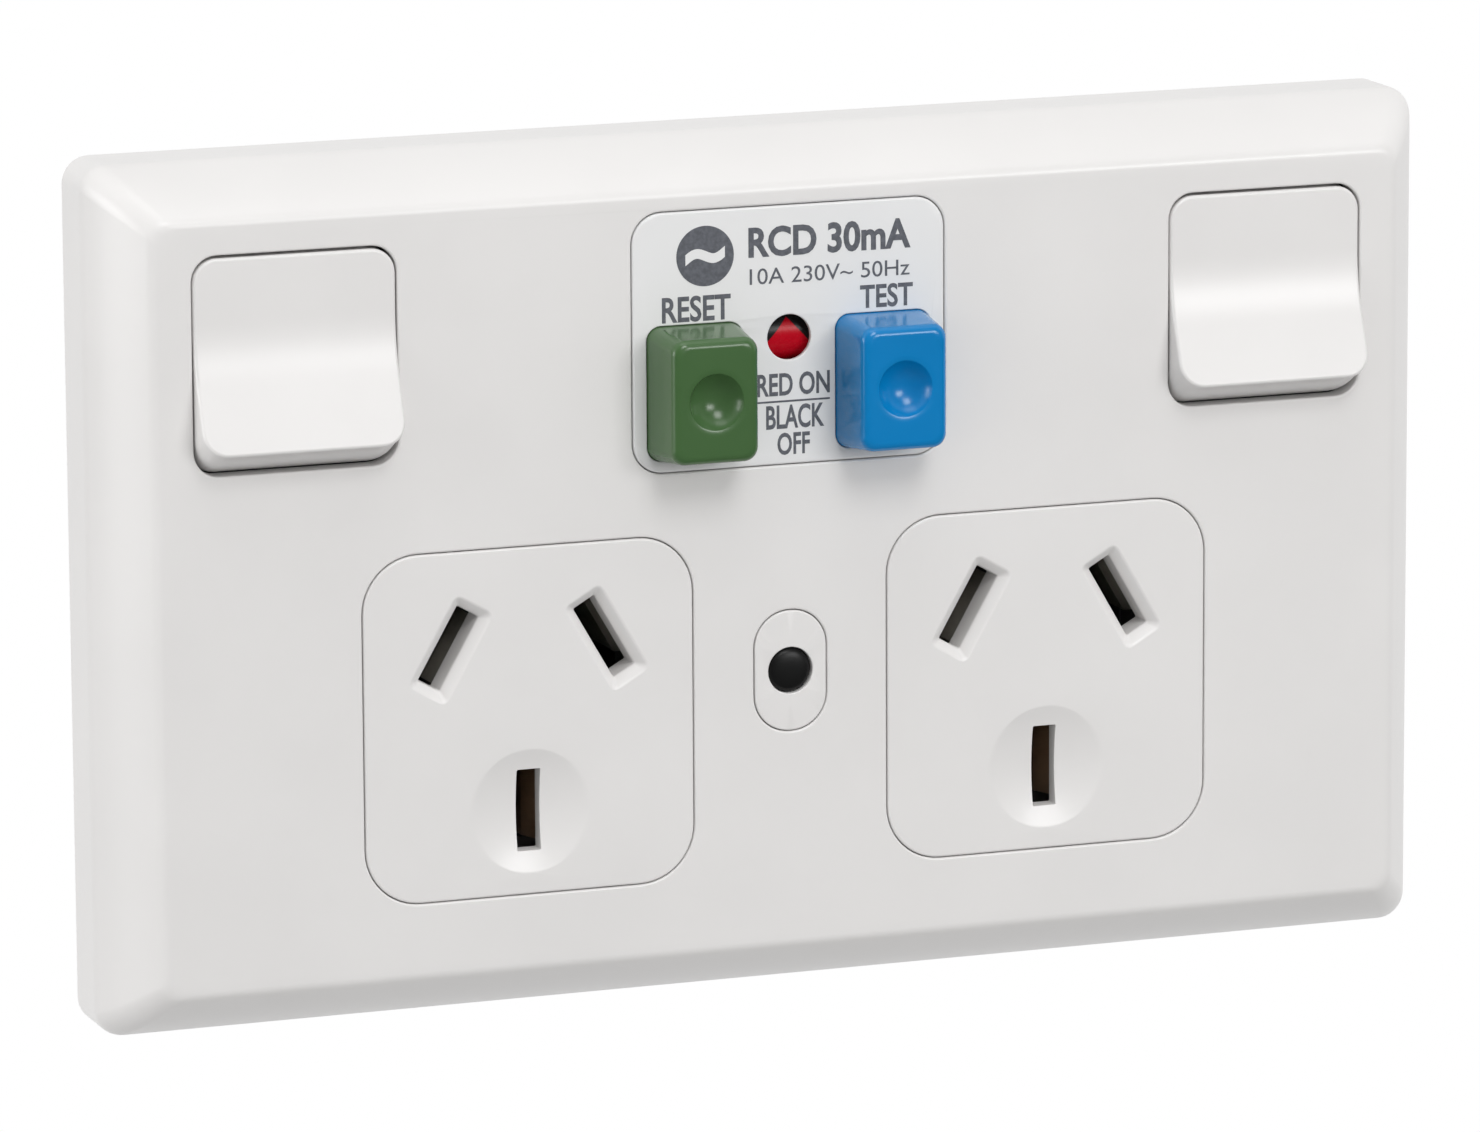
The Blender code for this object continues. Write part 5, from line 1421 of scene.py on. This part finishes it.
def dress_nodes(nodes: Mapping[str, bpy.types.Object], finishes: Mapping[str, bpy.types.Material]) -> None:
    """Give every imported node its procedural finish.

    Args:
        nodes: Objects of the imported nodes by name.
        finishes: Material of each finish by name.
    """
    brass = ("_contact", "_bar", "_terminal", "_blade", "_post", "_plunger", "_strip")
    steel = ("_screw", "_pin", "_spring", "_yoke", "_armature")
    special = {
        "circuit_board": "board", "transformer_core": "ferrite", "transformer_winding": "core_winding",
        "solenoid_coil": "coil_winding", "active_conductor": "copper", "neutral_conductor": "copper",
        "test_resistor": "blue", "contact_carriage": "black", "trip_lever": "black", "carriage_guide": "grey",
        "left_active_contact": "contact", "right_active_contact": "contact", "neutral_bar": "contact",
        "earth_bar": "earth", "contact_carrier": "grey", "mounting_frame": "grey", "rear_housing": "grey",
    }
    for name, node in nodes.items():
        if name in special:
            finish = special[name]
        elif any(part in name for part in steel):
            finish = "steel"
        elif any(part in name for part in brass):
            finish = "brass"
        else:
            finish = "white"
        node.data.materials.clear()
        node.data.materials.append(finishes[finish])
        LOG.info("%s: %s", name, finish)


def make_finishes() -> dict[str, bpy.types.Material]:
    """Every material by name."""
    copper = (0.72, 0.32, 0.17)
    plans: dict[str, Finish] = {
        "white": MouldedPlastic("white_urea", (0.75, 0.737, 0.727), 0.31),
        "panel": MouldedPlastic("panel_white", (0.765, 0.765, 0.765), 0.36),
        "green": MouldedPlastic("reset_green", (0.056, 0.126, 0.043), 0.24, 0.03),
        "blue": MouldedPlastic("test_blue", (0.0, 0.19, 0.48), 0.22, 0.03),
        "black": MouldedPlastic("plug_black", (0.009, 0.009, 0.009), 0.35, 0.1, shine=0.25),
        "grey": MouldedPlastic("base_grey", (0.2, 0.205, 0.21), 0.5, 0.05, 0.5, 0.012),
        "brass": RolledMetal("rolled_brass", (0.8, 0.56, 0.22), (0.45, 0.28, 0.1), 0.3),
        "contact": RolledMetal("dull_contact", (0.6, 0.58, 0.54), (0.42, 0.39, 0.35), 0.45),
        "earth": RolledMetal("bronze_contact", (0.6, 0.47, 0.36), (0.3, 0.2, 0.13), 0.4),
        "copper": RolledMetal("drawn_copper", copper, (0.4, 0.16, 0.08), 0.32),
        "steel": RolledMetal("zinc_steel", (0.63, 0.64, 0.66), (0.45, 0.43, 0.4), 0.32),
        "core_winding": WoundWire("core_winding_wire", copper, 0.35, 0),
        "coil_winding": WoundWire("coil_winding_wire", copper, 0.3, 0),
        "board": SolderMask("board_mask", (0.012, 0.1, 0.035), (0.05, 0.22, 0.09), 2.4),
        "ferrite": MouldedPlastic("sintered_ferrite", (0.045, 0.045, 0.05), 0.62, 0.15, 0.3, 0.02),
        "flag": FlagPaint("flag_paint", (0.5, 0.001, 0.012), (0.012, 0.012, 0.012), 21.2, -8.4, 0.25, 1.1),
        "ink": PrintInk("grey_ink", (0.085, 0.09, 0.105)),
    }
    return {name: plan.make() for name, plan in plans.items()}


def print_panel(ink: bpy.types.Material, white: bpy.types.Material) -> None:
    """Print the panel's words and signs.

    Args:
        ink: Dark ink.
        white: Finish of the sign on the dark disc.
    """
    panel = Lettering()
    for text, centre, size, weight in (
        ("RESET", (-8.25, 22.65), (6.1, 2.2), 0.022),
        ("TEST", (8.72, 22.7), (4.75, 2.0), 0.022),
        ("RED ON", (0.36, 15.72), (6.5, 1.95), 0.022),
        ("BLACK", (0.5, 12.95), (5.2, 2.05), 0.022),
        ("OFF", (0.35, 10.65), (2.9, 1.9), 0.022),
        ("RCD 30mA", (3.65, 27.9), (14.5, 2.6), 0.03),
        ("10A 230V~ 50Hz", (3.65, 25.0), (14.3, 1.35), 0.0),
    ):
        panel.word(text, centre, size, weight)
    panel.patch(RoundedBox(6.5, 0.16, 0.05, (0.37, 14.28), steps=2))
    panel.patch(Disc(2.55, SIGN, FINE_SIDES))
    panel.build("panel_print", ink, "outlet", Slot.PANEL)
    sign = Lettering(0.035)
    sign.word("~", SIGN, (3.5, 1.5), 0.03)
    sign.build("panel_sign", white, "outlet", Slot.PANEL)


def mark_housing(grey: bpy.types.Material) -> None:
    """Raise the terminal letters and the rating on the back of the housing."""
    marks = Lettering(0.25, Facing.WALL)
    for text, centre, size in (
        ("A", (-14.0, -16.3), (2.5, 2.9)), ("E", (0.0, -16.3), (2.1, 2.9)), ("N", (14.0, -16.3), (2.4, 2.9)),
        ("RCD 30mA", (0.0, 12.0), (24.0, 3.6)), ("10A 230V~ 50Hz", (0.0, 6.2), (28.0, 2.6)),
    ):
        marks.word(text, centre, size, 0.015)
    for height in (17.5, 1.0):
        marks.patch(RoundedBox(44.0, 0.8, 0.3, (0.0, height), steps=3))
    marks.build("housing_marks", grey, "outlet", Slot.GREY)


def round_edges(node: bpy.types.Object, width: float) -> None:
    """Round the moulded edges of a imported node.

    Args:
        node: The node's object.
        width: Width of the rounding in millimetres.
    """
    weld = node.modifiers.new("joined", "WELD")
    weld.merge_threshold = 0.001 * MM
    flats = node.modifiers.new("flats", "DECIMATE")
    flats.decimate_type = "DISSOLVE"
    flats.angle_limit = radians(1.0)
    edges = node.modifiers.new("edges", "BEVEL")
    edges.width = width * MM
    edges.segments = 3
    edges.limit_method = "ANGLE"
    edges.angle_limit = radians(40.0)
    edges.harden_normals = False
    normals = node.modifiers.new("flat_faces_stay_flat", "WEIGHTED_NORMAL")
    normals.weight = FLAT_FACE_WEIGHT
    LOG.info("%s: edges rounded by %.2f mm", node.name, width)


def main() -> None:
    """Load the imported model, build every sub-assembly and light it."""
    logging.basicConfig(level=logging.INFO, format="%(message)s")
    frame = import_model()
    finishes = make_finishes()
    dress_nodes(frame["nodes"], finishes)
    layout = Layout()
    white = finishes["white"]
    buttons = [layout.button.on(side) for side in Side]
    seats = [outline.grown(-SEAM) for outline in (*[layout.socket.on(side) for side in Side], layout.panel)]
    rockers = [layout.rocker.on(side) for side in Side]
    CoverPlate(white).build([*seats, *rockers], layout.pocket.grown(-SEAM))
    for side, rocker in zip(Side, rockers):
        SocketFace(white, layout.socket.on(side).grown(INSERT_FIT), 2.0, 1.6).build(side)
        Rocker(white, rocker).build(side)
    TripPanel(finishes["panel"], layout.panel.grown(INSERT_FIT), 1.5, 0.9, holes=buttons).build()
    PushButton(finishes["green"], "reset", Slot.GREEN, buttons[0].centre).build()
    PushButton(finishes["blue"], "test", Slot.BLUE, buttons[1].centre).build()
    for name, button in zip(("reset", "test"), buttons):
        ReturnSpring(finishes["steel"], name, (button.centre[0], PushButton.stem_z)).build()
    ScrewCap(white, finishes["black"], layout.pocket.grown(INSERT_FIT)).build()
    FlagDrum(finishes["flag"], (-8.4, 19.7)).build()
    print_panel(finishes["ink"], finishes["panel"])
    for number, spot in enumerate(((-32.0, -25.7), (32.0, -25.7), (-22.0, 26.2), (22.0, 26.2)), 1):
        HousingScrew(finishes["steel"], number, spot).build()
    mark_housing(finishes["grey"])
    round_edges(frame["nodes"]["rear_housing"], 0.5)
    round_edges(frame["nodes"]["mounting_frame"], 0.25)
    Studio().build()


if __name__ == "__main__":
    main()
